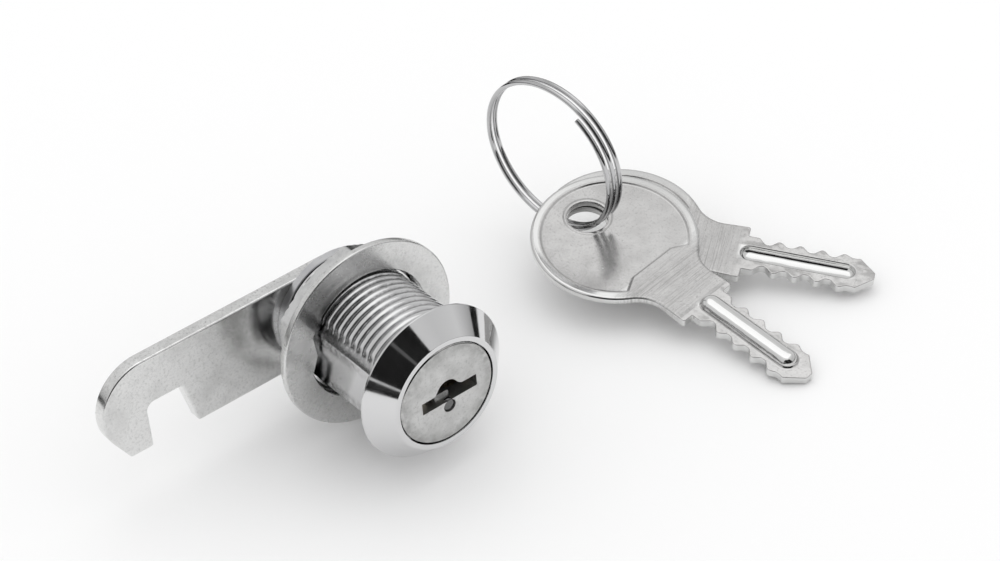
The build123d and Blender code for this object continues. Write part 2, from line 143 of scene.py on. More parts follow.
class KeySizes(bpy.types.PropertyGroup):
    """Sizes of the keys' and the ring's finished surfaces."""
    bow_rounding: bpy.props.FloatProperty(
        name="Bow rounding", description="Radius round the edge of the bow",
        default=mm(0.45), min=mm(0.05), unit="LENGTH")
    blade_rounding: bpy.props.FloatProperty(
        name="Blade rounding", description="Radius along the edges of the bitted blade",
        default=mm(0.12), min=mm(0.02), unit="LENGTH")
    wire_radius: bpy.props.FloatProperty(
        name="Wire radius", description="Radius of the split ring's wire",
        default=mm(0.375), min=mm(0.2), unit="LENGTH")


class StageLook(bpy.types.PropertyGroup):
    """Light and ground of the picture."""
    ground: bpy.props.FloatVectorProperty(
        name="Ground", description="Colour of the floor and of the backdrop", subtype="COLOR",
        default=(0.93, 0.93, 0.93), min=0.0, max=1.0)
    mirrored: bpy.props.FloatProperty(
        name="Mirrored room", description="Brightness of the room as metal mirrors it",
        default=1.0, min=0.0, max=1.0)
    soft_box: bpy.props.FloatProperty(
        name="Soft box", description="Power of the large lamp over the object", subtype="POWER",
        default=0.5, min=0.0)


# Mesh building

class Skin:
    """Collects the corners and faces of one mesh."""

    def __init__(self):
        self.points = []
        self.faces = []

    def ring(self, points):
        """Adds corners and returns their numbers."""
        first = len(self.points)
        self.points.extend(Vector(p) for p in points)
        return list(range(first, len(self.points)))

    def upright(self, outline, place):
        """A ring along an outline in X and Z, at one place on the lock's axis."""
        return self.ring((p.x, place, p.y) for p in outline)

    def level(self, outline, height):
        """A ring along an outline in X and Y, at one height."""
        return self.ring((p.x, p.y, height) for p in outline)

    def bridge(self, a, b, closed=True):
        """A band of faces between two rings."""
        count = len(a)
        for i in range(count if closed else count - 1):
            j = (i + 1) % count
            self.faces.append((a[i], a[j], b[j], b[i]))

    def cap(self, *loops):
        """A flat face bounded by the first loop, with the other loops as holes."""
        flat = [i for loop in loops for i in loop]
        corners = np.array([self.points[i] for i in flat])
        across = np.argsort(np.ptp(corners, axis=0))[1:]
        flattened = corners[:, across] / mm(1)
        edges, first = [], 0
        for loop in loops:
            edges += [(first + k, first + (k + 1) % len(loop)) for k in range(len(loop))]
            first += len(loop)
        found = delaunay_2d_cdt([Vector(p) for p in flattened], edges, [], 0, 1e-5)
        points, triangles, sources = np.array(found[0]), found[2], found[3]
        for triangle in triangles:
            if inside(points[list(triangle)].mean(axis=0), flattened, edges):
                self.faces.append(tuple(flat[sources[k][0]] for k in triangle))

    def stack(self, rings, closed=True):
        """Bands from each ring to the next."""
        for a, b in zip(rings, rings[1:]):
            self.bridge(a, b, closed)

    def solid(self, rings):
        """Walls from ring to ring, closed by a flat face at both ends."""
        self.stack(rings)
        self.cap(rings[0])
        self.cap(rings[-1])


def inside(point, corners, edges):
    """Whether an upward line from the point crosses the loops' edges an odd number of times."""
    starts, ends = (corners[[edge[k] for edge in edges]] for k in (0, 1))
    spans = (starts[:, 0] > point[0]) != (ends[:, 0] > point[0])
    run = np.where(spans, ends[:, 0] - starts[:, 0], 1.0)
    heights = starts[:, 1] + (point[0] - starts[:, 0]) / run * (ends[:, 1] - starts[:, 1])
    return np.count_nonzero(spans & (heights > point[1])) % 2 == 1


def rounded(corners, steps=5, closed=True):
    """Points of an outline whose corners (x, y, radius) are replaced by arcs."""
    points = []
    count = len(corners)
    for i, (x, y, radius) in enumerate(corners):
        here = Vector((x, y))
        inner = closed or 0 < i < count - 1
        if radius <= 0 or not inner:
            points.append(here)
            continue
        back = (Vector(corners[i - 1][:2]) - here).normalized()
        ahead = (Vector(corners[(i + 1) % count][:2]) - here).normalized()
        half = back.angle(ahead) / 2
        centre = here + (back + ahead).normalized() * (radius / math.sin(half))
        start = here + back * (radius / math.tan(half)) - centre
        end = here + ahead * (radius / math.tan(half)) - centre
        sweep = math.pi - 2 * half
        for k in range(steps + 1):
            s = k / steps
            arm = (start * math.sin((1 - s) * sweep) + end * math.sin(s * sweep)) / math.sin(sweep)
            points.append(centre + arm)
    return points


def arc(centre, radius, start, end, steps):
    """Points on an arc, its angles in degrees."""
    turns = np.radians(np.linspace(start, end, steps + 1))
    return [Vector((centre[0] + radius * math.cos(t), centre[1] + radius * math.sin(t))) for t in turns]


def inset(outline, distance):
    """The outline moved inwards, by one distance or by one for each corner. It runs anticlockwise."""
    count = len(outline)
    moved = []
    for i, here in enumerate(outline):
        before = (here - outline[i - 1]).normalized()
        after = (outline[(i + 1) % count] - here).normalized()
        left_before = Vector((-before.y, before.x))
        left_after = Vector((-after.y, after.x))
        step = distance[i] if hasattr(distance, "__len__") else distance
        moved.append(here + (left_before + left_after) * (step / (1 + left_before.dot(left_after))))
    return moved


def put_in_scene(name, data):
    """A new object in the scene for a mesh, a lamp or a camera."""
    item = bpy.data.objects.new(name, data)
    bpy.context.scene.collection.objects.link(item)
    return item


# Corners closer than this are one corner
WELD = mm(0.0005)


def make_object(name, skin, crease=32.0):
    """A clean smooth-shaded mesh object, sharp where its faces meet at more than the crease."""
    mesh = bpy.data.meshes.new(name)
    work = bmesh.new()
    corners = [work.verts.new(p) for p in skin.points]
    for face in skin.faces:
        ids = list(dict.fromkeys(face))
        if len(ids) > 2:
            work.faces.new([corners[i] for i in ids])
    bmesh.ops.remove_doubles(work, verts=work.verts, dist=WELD)
    bmesh.ops.dissolve_degenerate(work, edges=work.edges, dist=WELD)
    loose = [v for v in work.verts if not v.link_faces]
    bmesh.ops.delete(work, geom=loose, context="VERTS")
    bmesh.ops.recalc_face_normals(work, faces=work.faces)
    work.to_mesh(mesh)
    work.free()
    item = put_in_scene(name, mesh)
    sharpen(item, crease)
    return item


def sharpen(item, crease):
    """Smooth shading, with an edge where faces meet at more than the crease."""
    item.data.shade_smooth()
    item.data.set_sharp_from_angle(angle=math.radians(crease))


def even_normals(item):
    """Keeps flat faces flat in shading beside their small roundings."""
    even = item.modifiers.new("even_normals", "WEIGHTED_NORMAL")
    even.keep_sharp = True
    even.weight = 90


def combine(item, other, operation):
    """Joins another solid to this one or cuts it away, and deletes the other."""
    step = item.modifiers.new("combine", "BOOLEAN")
    step.operation = operation
    step.solver = "EXACT"
    step.object = other
    shaped = bpy.data.meshes.new_from_object(item.evaluated_get(bpy.context.evaluated_depsgraph_get()))
    item.modifiers.clear()
    old = item.data
    item.data = shaped
    shaped.name = item.name
    bpy.data.meshes.remove(old)
    bpy.data.objects.remove(other, do_unlink=True)


def dress(item, material, slot, *nodes):
    """Gives a piece its material and hides the nodes that it stands for. The slot is not used."""
    item.data.materials.clear()
    item.data.materials.append(material)
    even_normals(item)
    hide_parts(*nodes)


def finish_piece(item, material, body, slot, *nodes):
    """Dresses a piece and lets it ride its body."""
    dress(item, material, slot, *nodes)
    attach(item, body)


def angles_with(extra=(), count=None):
    """Angles for the columns of a turned piece, with more where an edge needs them, in degrees."""
    count = count or bpy.context.scene.lock_sizes.segments
    steps = list(np.linspace(0.0, 360.0, count, endpoint=False)) + [a % 360.0 for a in extra]
    return np.radians(np.array(sorted(set(round(a, 4) for a in steps))))


def turned_ring(skin, angles, radius, place):
    """One ring of corners round the lock's axis; radius and place may differ round it."""
    radii = np.broadcast_to(radius, angles.shape)
    places = np.broadcast_to(place, angles.shape)
    return skin.ring(zip(radii * np.cos(angles), places, radii * np.sin(angles)))


def turned_rows(skin, angles, profile):
    """One ring for each radius and place of a profile."""
    return [turned_ring(skin, angles, radius, place) for radius, place in profile]


def box_radius(angles, half_x, half_z):
    """Distance from the axis to the sides of a rectangle, for each angle."""
    across = np.maximum(np.abs(np.cos(angles)), TINY)
    upright = np.maximum(np.abs(np.sin(angles)), TINY)
    return np.minimum(half_x / across, half_z / upright)


def flat_sided(angles, radius, half_flats):
    """Radius of a round contour with two flats, for each angle."""
    return np.minimum(radius, half_flats / np.maximum(np.abs(np.cos(angles)), TINY))


def flat_edges(radius, half_flats):
    """Angles, in degrees, at which a round contour meets its two flats."""
    edge = math.degrees(math.acos(half_flats / radius))
    return [edge, 180 - edge, 180 + edge, 360 - edge]


# Materials

# Sockets of a mix node for each kind of value: its share, its first and second value and its result
MIX_SOCKETS = {"RGBA": (0, 6, 7, 2), "FLOAT": (0, 2, 3, 0)}


def mapped(tree, value, low, high, out_low=0.0, out_high=1.0):
    """A value whose range from low to high is stretched to another range and cut off there."""
    node = tree.nodes.new("ShaderNodeMapRange")
    node.inputs["From Min"].default_value = low
    node.inputs["From Max"].default_value = high
    node.inputs["To Min"].default_value = out_low
    node.inputs["To Max"].default_value = out_high
    tree.links.new(value, node.inputs["Value"])
    return node.outputs["Result"]


def joined(tree, operation, *values):
    """Several values put together two by two."""
    total = values[0]
    for value in values[1:]:
        node = tree.nodes.new("ShaderNodeMath")
        node.operation = operation
        tree.links.new(total, node.inputs[0])
        tree.links.new(value, node.inputs[1])
        total = node.outputs["Value"]
    return total


def measured(tree, operation, vector, other=(0, 0, 0)):
    """A vector's length, or its share along another vector."""
    node = tree.nodes.new("ShaderNodeVectorMath")
    node.operation = operation
    tree.links.new(vector, node.inputs[0])
    node.inputs[1].default_value = other
    return node.outputs["Value"]


def mixed(tree, share, first, second, kind="RGBA"):
    """A mix of two colours or two numbers, each of them fixed or the output of another node."""
    node = tree.nodes.new("ShaderNodeMix")
    node.data_type = kind
    share_socket, first_socket, second_socket, result = MIX_SOCKETS[kind]
    tree.links.new(share, node.inputs[share_socket])
    for value, socket in ((first, first_socket), (second, second_socket)):
        if isinstance(value, bpy.types.NodeSocket):
            tree.links.new(value, node.inputs[socket])
        else:
            node.inputs[socket].default_value = (*value, 1.0) if kind == "RGBA" else value
    return node.outputs[result]


class Finish:
    """A node material being built: the shader, its nodes and its links."""

    def __init__(self, name, colour, roughness, metallic=1.0, place=None):
        self.material = bpy.data.materials.new(name)
        self.material.use_nodes = True
        self.tree = self.material.node_tree
        self.nodes, self.links = self.tree.nodes, self.tree.links
        self.shader = self.nodes["Principled BSDF"]
        self.shader.inputs["Base Color"].default_value = (*colour, 1.0)
        self.shader.inputs["Roughness"].default_value = roughness
        self.shader.inputs["Metallic"].default_value = metallic
        self.colour = colour
        self.place = self.nodes.new("ShaderNodeTexCoord").outputs["Object"]
        self.height = None
        if place is not None:
            back = place.inverted()
            self.place = self.stretched(turn=back.to_euler(), shift=back.translation)

    def stretched(self, scale=(1, 1, 1), turn=(0, 0, 0), shift=(0, 0, 0)):
        """The object's own coordinates, stretched, turned and shifted."""
        mapping = self.nodes.new("ShaderNodeMapping")
        mapping.inputs["Scale"].default_value = scale
        mapping.inputs["Rotation"].default_value = turn
        mapping.inputs["Location"].default_value = shift
        self.links.new(self.place, mapping.inputs["Vector"])
        return mapping.outputs["Vector"]

    def noise(self, scale, detail=4.0, place=None, roughness=0.55):
        """Random clouds from 0 to 1; the scale is how many there are to a metre."""
        node = self.nodes.new("ShaderNodeTexNoise")
        node.inputs["Scale"].default_value = scale
        node.inputs["Detail"].default_value = detail
        node.inputs["Roughness"].default_value = roughness
        self.links.new(place or self.place, node.inputs["Vector"])
        return node.outputs["Fac"]

    def pits(self, scale, size):
        """Small round specks: 1 inside a speck and 0 outside."""
        cells = self.nodes.new("ShaderNodeTexVoronoi")
        cells.inputs["Scale"].default_value = scale
        self.links.new(self.place, cells.inputs["Vector"])
        return self.between(cells.outputs["Distance"], size, size * 0.4)

    def between(self, value, low, high, out_low=0.0, out_high=1.0):
        """One value below the low mark, 0 by itself, another above the high one, and a slope between.

        With the higher mark first the slope runs the other way."""
        return mapped(self.tree, value, low, high, out_low, out_high)

    def times(self, *values):
        """Masks that all have to hold."""
        return joined(self.tree, "MULTIPLY", *values)

    def largest(self, *values):
        """Masks of which one has to hold."""
        return joined(self.tree, "MAXIMUM", *values)

    def reach(self, across):
        """Distance from the origin in the directions whose share is 1."""
        return measured(self.tree, "LENGTH", self.stretched(across))

    def along(self, axis):
        """One of the object's coordinates."""
        split = self.nodes.new("ShaderNodeSeparateXYZ")
        self.links.new(self.place, split.inputs["Vector"])
        return split.outputs[axis]

    def tint(self, mask, colour):
        """Another colour where the mask is 1."""
        socket = self.shader.inputs["Base Color"]
        before = socket.links[0].from_socket if socket.is_linked else self.colour
        self.links.new(mixed(self.tree, mask, before, colour), socket)

    def patches(self, scale, detail, low, high, colour, roughness=0.55):
        """Cloudy patches of another colour."""
        self.tint(self.between(self.noise(scale, detail, roughness=roughness), low, high), colour)

    def grain(self, scale, low, colour):
        """A fine dark grain."""
        self.patches(scale, 6, low, 0.72, colour, roughness=0.75)

    def vary_roughness(self, mask, low, high):
        """Lets the roughness drift between two values."""
        self.links.new(self.between(mask, 0.25, 0.75, low, high), self.shader.inputs["Roughness"])

    def polish(self, mask, roughness):
        """Another roughness where the mask is 1."""
        socket = self.shader.inputs["Roughness"]
        before = socket.links[0].from_socket
        self.links.new(mixed(self.tree, mask, before, roughness, "FLOAT"), socket)

    def bump(self, height, strength, distance):
        """Adds one layer of relief on top of those before it."""
        node = self.nodes.new("ShaderNodeBump")
        node.inputs["Strength"].default_value = strength
        node.inputs["Distance"].default_value = distance
        self.links.new(height, node.inputs["Height"])
        if self.height is not None:
            self.links.new(self.height, node.inputs["Normal"])
        self.height = node.outputs["Normal"]
        self.links.new(self.height, self.shader.inputs["Normal"])


def bezel_chrome():
    """Bright plate over cast zinc, a little wavy, with pinholes, and grime down in the thread."""
    finish = Finish("bezel_chrome", (0.67, 0.67, 0.675), 0.07)
    finish.vary_roughness(finish.noise(900, 5), 0.04, 0.11)
    radius = finish.reach((1, 0, 1))
    on_thread = finish.between(finish.along("Y"), mm(0.6), mm(1.6))
    trough = finish.times(on_thread, finish.between(radius, mm(9.22), mm(9.0)),
                          finish.between(radius, mm(8.3), mm(8.6)))
    grime = finish.between(finish.noise(1500, 6, roughness=0.7), 0.35, 0.6)
    deep = finish.between(finish.along("Y"), mm(3.0), mm(12.0), 0.25, 0.9)
    finish.tint(finish.times(trough, grime, deep), (0.16, 0.16, 0.16))
    finish.polish(finish.times(on_thread, deep), 0.2)
    finish.bump(finish.noise(160, 2), 0.12, mm(0.05))
    finish.bump(finish.noise(2600, 6), 0.10, mm(0.01))
    finish.bump(finish.times(on_thread, finish.noise(4200, 5, roughness=0.7)), 0.25, mm(0.02))
    finish.tint(finish.pits(420, 0.07), (0.25, 0.25, 0.25))
    return finish.material


def face_nickel():
    """Satin nickel on the plug's face: fine grain, cloudy patches and a darker cloudy band towards the rim.
    """
    finish = Finish("face_nickel", (0.60, 0.60, 0.595), 0.36)
    finish.vary_roughness(finish.noise(700, 5), 0.28, 0.44)
    finish.patches(330, 6, 0.38, 0.70, (0.46, 0.46, 0.455))
    finish.grain(2400, 0.52, (0.36, 0.36, 0.355))
    radius = finish.reach((1, 0, 1))
    border = finish.between(radius, mm(5.6), mm(7.1))
    finish.tint(finish.times(border, finish.between(finish.noise(900, 5), 0.30, 0.62)), (0.34, 0.34, 0.335))
    finish.polish(finish.between(radius, mm(7.15), mm(7.3)), 0.1)
    finish.bump(finish.noise(3600, 6, roughness=0.7), 0.45, mm(0.03))
    finish.bump(finish.noise(260, 3), 0.25, mm(0.05))
    return finish.material


def pin_painted_shade():
    """Polished nickel on the small pin under the keyway, its colour painted near black as painted shade of
    the recess round it.
    """
    finish = Finish("pin_painted_shade", (0.15, 0.15, 0.15), 0.08)
    finish.vary_roughness(finish.noise(1500, 4), 0.05, 0.14)
    finish.bump(finish.noise(1200, 3), 0.2, mm(0.03))
    return finish.material


def brass_plain():
    """Stamped brass of the wafers under a dull grey film, with rolling lines."""
    finish = Finish("brass_plain", (0.52, 0.48, 0.40), 0.30)
    lines = finish.noise(1500, 3, finish.stretched((1, 1, 0.08)))
    finish.vary_roughness(lines, 0.22, 0.42)
    finish.patches(500, 4, 0.45, 0.75, (0.36, 0.32, 0.25))
    finish.bump(lines, 0.2, mm(0.01))
    return finish.material


def spring_wire():
    """Drawn spring wire."""
    finish = Finish("spring_wire", (0.55, 0.55, 0.56), 0.25)
    finish.vary_roughness(finish.noise(1800, 4), 0.18, 0.34)
    finish.bump(finish.noise(5000, 4), 0.2, mm(0.005))
    return finish.material


def washer_nickel():
    """Satin nickel on the large washer: blurred mirror, wiping marks, a fine grain and blotchy painted shade
    round the hole, next to the body.
    """
    finish = Finish("washer_nickel", (0.70, 0.70, 0.695), 0.24)
    finish.vary_roughness(finish.noise(500, 6), 0.18, 0.32)
    wipes = finish.noise(900, 4, finish.stretched((1.0, 1.0, 0.12), (0, 0.6, 0)))
    finish.bump(wipes, 0.10, mm(0.01))
    finish.bump(finish.noise(90, 2), 0.10, mm(0.05))
    finish.bump(finish.noise(3000, 6, roughness=0.7), 0.08, mm(0.01))
    # Darker blotches round the hole, next to the body that passes through it: painted shade
    near_hole = finish.between(finish.reach((1, 0, 1)), mm(12.8), mm(10.0))
    shade_blotches = finish.between(finish.noise(300, 4), 0.25, 0.60)
    finish.tint(finish.times(near_hole, shade_blotches), (0.52, 0.52, 0.515))
    finish.grain(2400, 0.50, (0.50, 0.50, 0.495))
    finish.tint(finish.pits(300, 0.05), (0.3, 0.3, 0.3))
    return finish.material


def nut_nickel():
    """Bright nickel on the hexagon nut with pressing marks."""
    finish = Finish("nut_nickel", (0.70, 0.70, 0.70), 0.16)
    finish.vary_roughness(finish.noise(300, 5), 0.10, 0.22)
    finish.patches(350, 5, 0.5, 0.75, (0.55, 0.55, 0.55))
    finish.bump(finish.noise(200, 3), 0.3, mm(0.06))
    finish.bump(finish.noise(2500, 5), 0.15, mm(0.01))
    return finish.material


def zinc_plain():
    """Duller zinc plate on the small parts behind the cam."""
    finish = Finish("zinc_plain", (0.62, 0.62, 0.63), 0.28)
    finish.vary_roughness(finish.noise(500, 5), 0.22, 0.40)
    finish.patches(260, 5, 0.5, 0.8, (0.48, 0.48, 0.50))
    finish.bump(finish.noise(1200, 5), 0.2, mm(0.02))
    return finish.material


def cam_nickel():
    """Nickel over sheet steel: soft rolling waves, specks and a fine grain."""
    finish = Finish("cam_nickel", (0.78, 0.78, 0.775), 0.2)
    finish.vary_roughness(finish.noise(420, 6), 0.13, 0.26)
    finish.bump(finish.noise(110, 3, finish.stretched((1, 1, 0.5))), 0.35, mm(0.10))
    finish.bump(finish.noise(1900, 6), 0.20, mm(0.02))
    specks = finish.times(finish.pits(700, 0.12), finish.between(finish.noise(60, 2), 0.5, 0.6))
    finish.tint(specks, (0.22, 0.22, 0.22))
    finish.patches(240, 5, 0.42, 0.72, (0.62, 0.62, 0.615))
    finish.grain(2200, 0.50, (0.50, 0.50, 0.495))
    return finish.material


def key_nickel(name, place):
    """Satin nickel on the keys, polished on the rim, the rib and the cuts, with a lighter colour painted
    there as painted highlight, brushed across the neck.
    """
    finish = Finish(name, (0.56, 0.555, 0.55), 0.27, place=place)
    finish.vary_roughness(finish.noise(1100, 6), 0.18, 0.28)
    length = finish.along("X")
    bow = finish.between(length, mm(9.5), mm(8.0))
    blade = finish.between(length, mm(16.8), mm(17.4))
    rim = finish.times(bow, finish.between(finish.reach((1, 1, 0)), mm(10.9), mm(11.2)))
    crest = finish.times(blade, finish.between(length, mm(34.4), mm(33.2)),
                         finish.between(finish.reach((0, 1, 0)), mm(1.5), mm(1.15)))
    walls = finish.times(finish.between(length, mm(7.6), mm(8.2)),
                         finish.between(finish.reach((0, 0, 1)), mm(0.63), mm(0.5)))
    finish.polish(blade, 0.11)
    finish.polish(finish.largest(rim, crest, walls), 0.09)
    finish.patches(300, 5, 0.40, 0.72, (0.48, 0.475, 0.47))
    finish.grain(2600, 0.52, (0.38, 0.375, 0.37))
    # Lighter colour on the rim, the rib's crest and the side walls of the neck and blade: painted highlight
    finish.tint(rim, (0.66, 0.66, 0.655))
    finish.tint(finish.largest(crest, walls), (0.72, 0.72, 0.715))
    finish.bump(finish.noise(150, 2), 0.12, mm(0.05))
    finish.bump(finish.times(finish.noise(260, 2), blade), 0.45, mm(0.3))
    finish.bump(finish.noise(2600, 6, roughness=0.65), 0.14, mm(0.012))
    scratches = finish.noise(420, 5, finish.stretched((12.0, 0.25, 1.0), (0, 0, 0.12)), 0.7)
    on_neck = finish.times(finish.between(length, mm(7.5), mm(10.0)),
                           finish.between(length, mm(17.5), mm(15.5)))
    finish.tint(finish.times(finish.between(scratches, 0.48, 0.66), on_neck), (0.40, 0.395, 0.39))
    finish.bump(finish.times(scratches, on_neck), 0.8, mm(0.08))
    return finish.material


def ring_steel(place):
    """Bright drawn wire with lengthwise lines."""
    finish = Finish("ring_steel", (0.54, 0.54, 0.545), 0.08, place=place)
    finish.vary_roughness(finish.noise(350, 5), 0.05, 0.14)
    finish.patches(160, 4, 0.45, 0.75, (0.36, 0.36, 0.365))
    finish.bump(finish.noise(1600, 4), 0.10, mm(0.02))
    return finish.material


# The lock

# Where the thread's rings lie within one pitch: the crest at 0, the bottom of the groove at 0.5
THREAD_PLACES = (0.0, 0.20, 0.32, 0.40, 0.46, 0.5, 0.54, 0.60, 0.68, 0.80)
# Power that gives the thread wide crests and narrow grooves: a plain wave at 1
CREST_WIDENING = 0.4
# Radius of the smooth strip beside each flat, and the degrees from the X axis where the thread fades in
STRIP_R = THREAD_R - mm(0.25)
FADE_START, FADE_ANGLE = 36.0, 9.0
# The stop ridge behind the body, in degrees round the axis
RIDGE_START, RIDGE_END = 250.0, 290.0
RIDGE_RISE = mm(1.2)
BODY_CHAMFER = mm(0.5)


def thread_rows(skin, angles, sizes, start, end):
    """Rings of a right-hand thread: each follows the helix and steps back a pitch on the +X flat.

    Each ring keeps one place in the thread's outline: a wide rounded crest beside a narrow groove.
    Beside the flats the thread fades into a smooth strip."""
    degrees = np.degrees(angles)
    turn = helix_share(degrees, flat_edges(THREAD_R, HALF_FLATS)[0])
    beside = np.minimum(degrees % 180, 180 - degrees % 180)
    cut = np.clip((beside - FADE_START) / FADE_ANGLE, 0.0, 1.0)
    cut = cut * cut * (3 - 2 * cut)
    rows = []
    for lap in range(-1, int((end - start) / sizes.thread_pitch) + 2):
        for along in THREAD_PLACES:
            places = start + (lap + along + turn) * sizes.thread_pitch
            shown = np.clip(np.minimum(places - start, end - places) / mm(0.5), 0.0, 1.0)
            hollow = 1 - abs(math.cos(math.pi * along)) ** CREST_WIDENING
            threaded = THREAD_R - sizes.thread_depth * hollow * shown
            radii = STRIP_R * (1 - cut) + threaded * cut
            places = np.clip(places, start, end)
            rows.append(skin.ring(thread_point(r, a, y) for r, a, y in zip(radii, angles, places)))
    return rows


def helix_share(degrees, edge):
    """How far along the helix each angle is: rises over a turn and falls back across the +X flat."""
    rising = degrees / 360
    back = (degrees + edge) % 360
    falling = 1 - edge / 360 - back / (2 * edge) * (1 - edge / 180)
    return np.where(back < 2 * edge, falling, rising)


def thread_point(radius, angle, place):
    """A corner on the thread, pulled in to the flat where the body is cut."""
    x = radius * math.cos(angle)
    return (max(-HALF_FLATS, min(HALF_FLATS, x)), place, radius * math.sin(angle))


def build_housing():
    """Bezel and threaded body in one closed skin, with its seat, bore, grooves and stop ridge."""
    sizes = bpy.context.scene.lock_sizes
    edge, step = sizes.edge, 0.05
    angles = angles_with([*flat_edges(STRIP_R, HALF_FLATS),
                          RIDGE_START - step, RIDGE_START, RIDGE_END, RIDGE_END + step])
    skin = Skin()
    bezel = rounded([
        (SEAT_R, FACE_SEAT_Y, 0), (SEAT_R, FACE_Y, edge * 0.5), (LIP_R, FACE_Y, edge),
        (BEZEL_R, -BEZEL_RIM, edge), (BEZEL_R, 0, edge * 0.5), (THREAD_R, 0, 0)], closed=False)
    front = turned_rows(skin, angles, bezel[:-1])
    skin.stack(front)
    body_start, body_end = mm(0.02), BODY_END_Y - BODY_CHAMFER
    first = turned_body(skin, angles, THREAD_R, body_start)
    bevelled = turned_body(skin, angles, THREAD_R - BODY_CHAMFER, BODY_END_Y)
    skin.stack([front[-1], first, *thread_rows(skin, angles, sizes, body_start, body_end), bevelled])
    ridge_start, ridge_end = math.radians(RIDGE_START), math.radians(RIDGE_END)
    on_ridge = (angles >= ridge_start - ANGLE_SLACK) & (angles <= ridge_end + ANGLE_SLACK)
    ridge_y = BODY_END_Y + np.where(on_ridge, RIDGE_RISE, 0.0)
    outer = turned_ring(skin, angles, flat_sided(angles, THREAD_R - mm(0.45), HALF_FLATS), ridge_y)
    inner = turned_ring(skin, angles, RIDGE_INNER_R, ridge_y)
    foot = turned_ring(skin, angles, RIDGE_INNER_R - mm(0.02), BODY_END_Y)
    grooved = np.maximum(BORE_R, np.maximum(box_radius(angles, GROOVE_R, GROOVE_HALF),
                                            box_radius(angles, GROOVE_HALF, GROOVE_R)))
    mouth = turned_ring(skin, angles, grooved, BODY_END_Y)
    groove_y = FACE_SEAT_Y + mm(0.06)
    groove_start = turned_ring(skin, angles, grooved, groove_y)
    bore = turned_ring(skin, angles, BORE_R, groove_y)
    seat = turned_ring(skin, angles, BORE_R, FACE_SEAT_Y)
    skin.stack([bevelled, outer, inner, foot, mouth, groove_start, bore, seat, front[0]])
    return make_object("housing_chromed", skin)


def turned_body(skin, angles, radius, place):
    """One ring of the flat-sided body."""
    return skin.ring(thread_point(radius, a, place) for a in angles)


def prism(name, outline, start, end):
    """A solid with a flat outline in X and Z, run along the lock's axis."""
    skin = Skin()
    skin.solid([skin.upright(outline, start), skin.upright(outline, end)])
    return make_object(name, skin)


def keyway_outline():
    """The keyway: a flat slot with a bell-shaped hump over its middle."""
    left, right, low, high, corner = -mm(4.2), mm(4.9), -mm(1.34), mm(0.5), mm(0.08)
    hump = [(p.x, p.y, 0) for p in arc((mm(0.1), mm(0.4)), mm(1.75), 25, 155, 16)]
    return rounded([(left, low, corner), (right, low, corner), (right, high, corner),
                    (mm(2.3), high, mm(1.1)), *hump, (-mm(2.05), high, mm(0.6)), (left, high, corner)])


def ward_outline():
    """The low rail on the keyway's floor that the key's channel slides over."""
    half, low, high, corner = mm(1.15), -mm(2), -mm(0.85), mm(0.3)
    return rounded([(-half, low, 0), (half, low, 0), (half, high, corner), (-half, high, corner)])


def wafer_slot_outline():
    """The slot for one wafer: a wide band, and a narrower part above it for the wafer's top."""
    wide, low, narrow, high = mm(8), mm(2.96), mm(2.35), mm(4.57)
    return [Vector(p) for p in ((-wide, -low), (wide, -low), (wide, low), (narrow, low),
                                (narrow, high), (-narrow, high), (-narrow, low), (-wide, low))]


def build_plug():
    """The plug: soft-edged face, keyway with its ward pin, wafer slots and square tail."""
    sizes = bpy.context.scene.lock_sizes
    angles = angles_with(SQUARE_CORNERS, 144)
    collar_y, screw_hole_r = FACE_Y + mm(1.6), mm(2.0)
    tail = box_radius(angles, TAIL_HALF, TAIL_HALF)
    skin = Skin()
    profile = rounded([(mm(5.0), FACE_Y, 0), (FACE_R, FACE_Y, sizes.face_rounding), (FACE_R, collar_y, 0),
                       (PLUG_R, collar_y, 0)], steps=8, closed=False)
    behind = [(PLUG_R, STOP_Y), (tail, STOP_Y), (tail, TAIL_END_Y), (screw_hole_r, TAIL_END_Y),
              (screw_hole_r, TAIL_END_Y - mm(5.0))]
    skin.solid(turned_rows(skin, angles, [*profile, *behind]))
    plug = make_object("plug_nickelled", skin)
    before_face, keyway_end = FACE_Y - mm(1), FACE_Y + mm(19.9)
    recess_place, recess_end = (mm(0.2), -mm(2.24)), FACE_Y + mm(0.6)
    recess = arc(recess_place, mm(0.98), 0, 345, 23)
    combine(plug, prism("keyway", keyway_outline(), before_face, keyway_end), "DIFFERENCE")
    combine(plug, prism("recess", recess, before_face, recess_end), "DIFFERENCE")
    combine(plug, prism("ward", ward_outline(), FACE_Y + mm(1.5), keyway_end + mm(0.5)), "UNION")
    half_slot = mm(0.71)
    for place, _ in wafer_places():
        slot = prism("wafer_slot", wafer_slot_outline(), place - half_slot, place + half_slot)
        combine(plug, slot, "DIFFERENCE")
    sharpen(plug, 30)
    soften = plug.modifiers.new("broken_edges", "BEVEL")
    soften.width = mm(0.11)
    soften.segments = 3
    soften.limit_method = "ANGLE"
    soften.angle_limit = math.radians(50)
    return plug, ward_pin(recess_place, recess_end + mm(0.05))


def ward_pin(place, seat):
    """The small round-headed pin that stands in the recess under the keyway."""
    skin = Skin()
    angles = angles_with(count=40)
    radius = mm(1.0)
    profile = rounded([(radius, seat, 0), (radius, seat - mm(0.42), mm(0.4)), (mm(0.05), seat - mm(0.62), 0)],
                      steps=8, closed=False)
    skin.solid([skin.ring((place[0] + r * math.cos(a), y, place[1] + r * math.sin(a)) for a in angles)
                for r, y in profile])
    return make_object("ward_pin", skin)


def wafer_places():
    """Each wafer's place along the axis and the side that its spring pushes it to."""
    for index in range(1, 6):
        low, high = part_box(f"wafer_{index}")
        yield (low[1] + high[1]) / 2, (1 if index % 2 else -1)


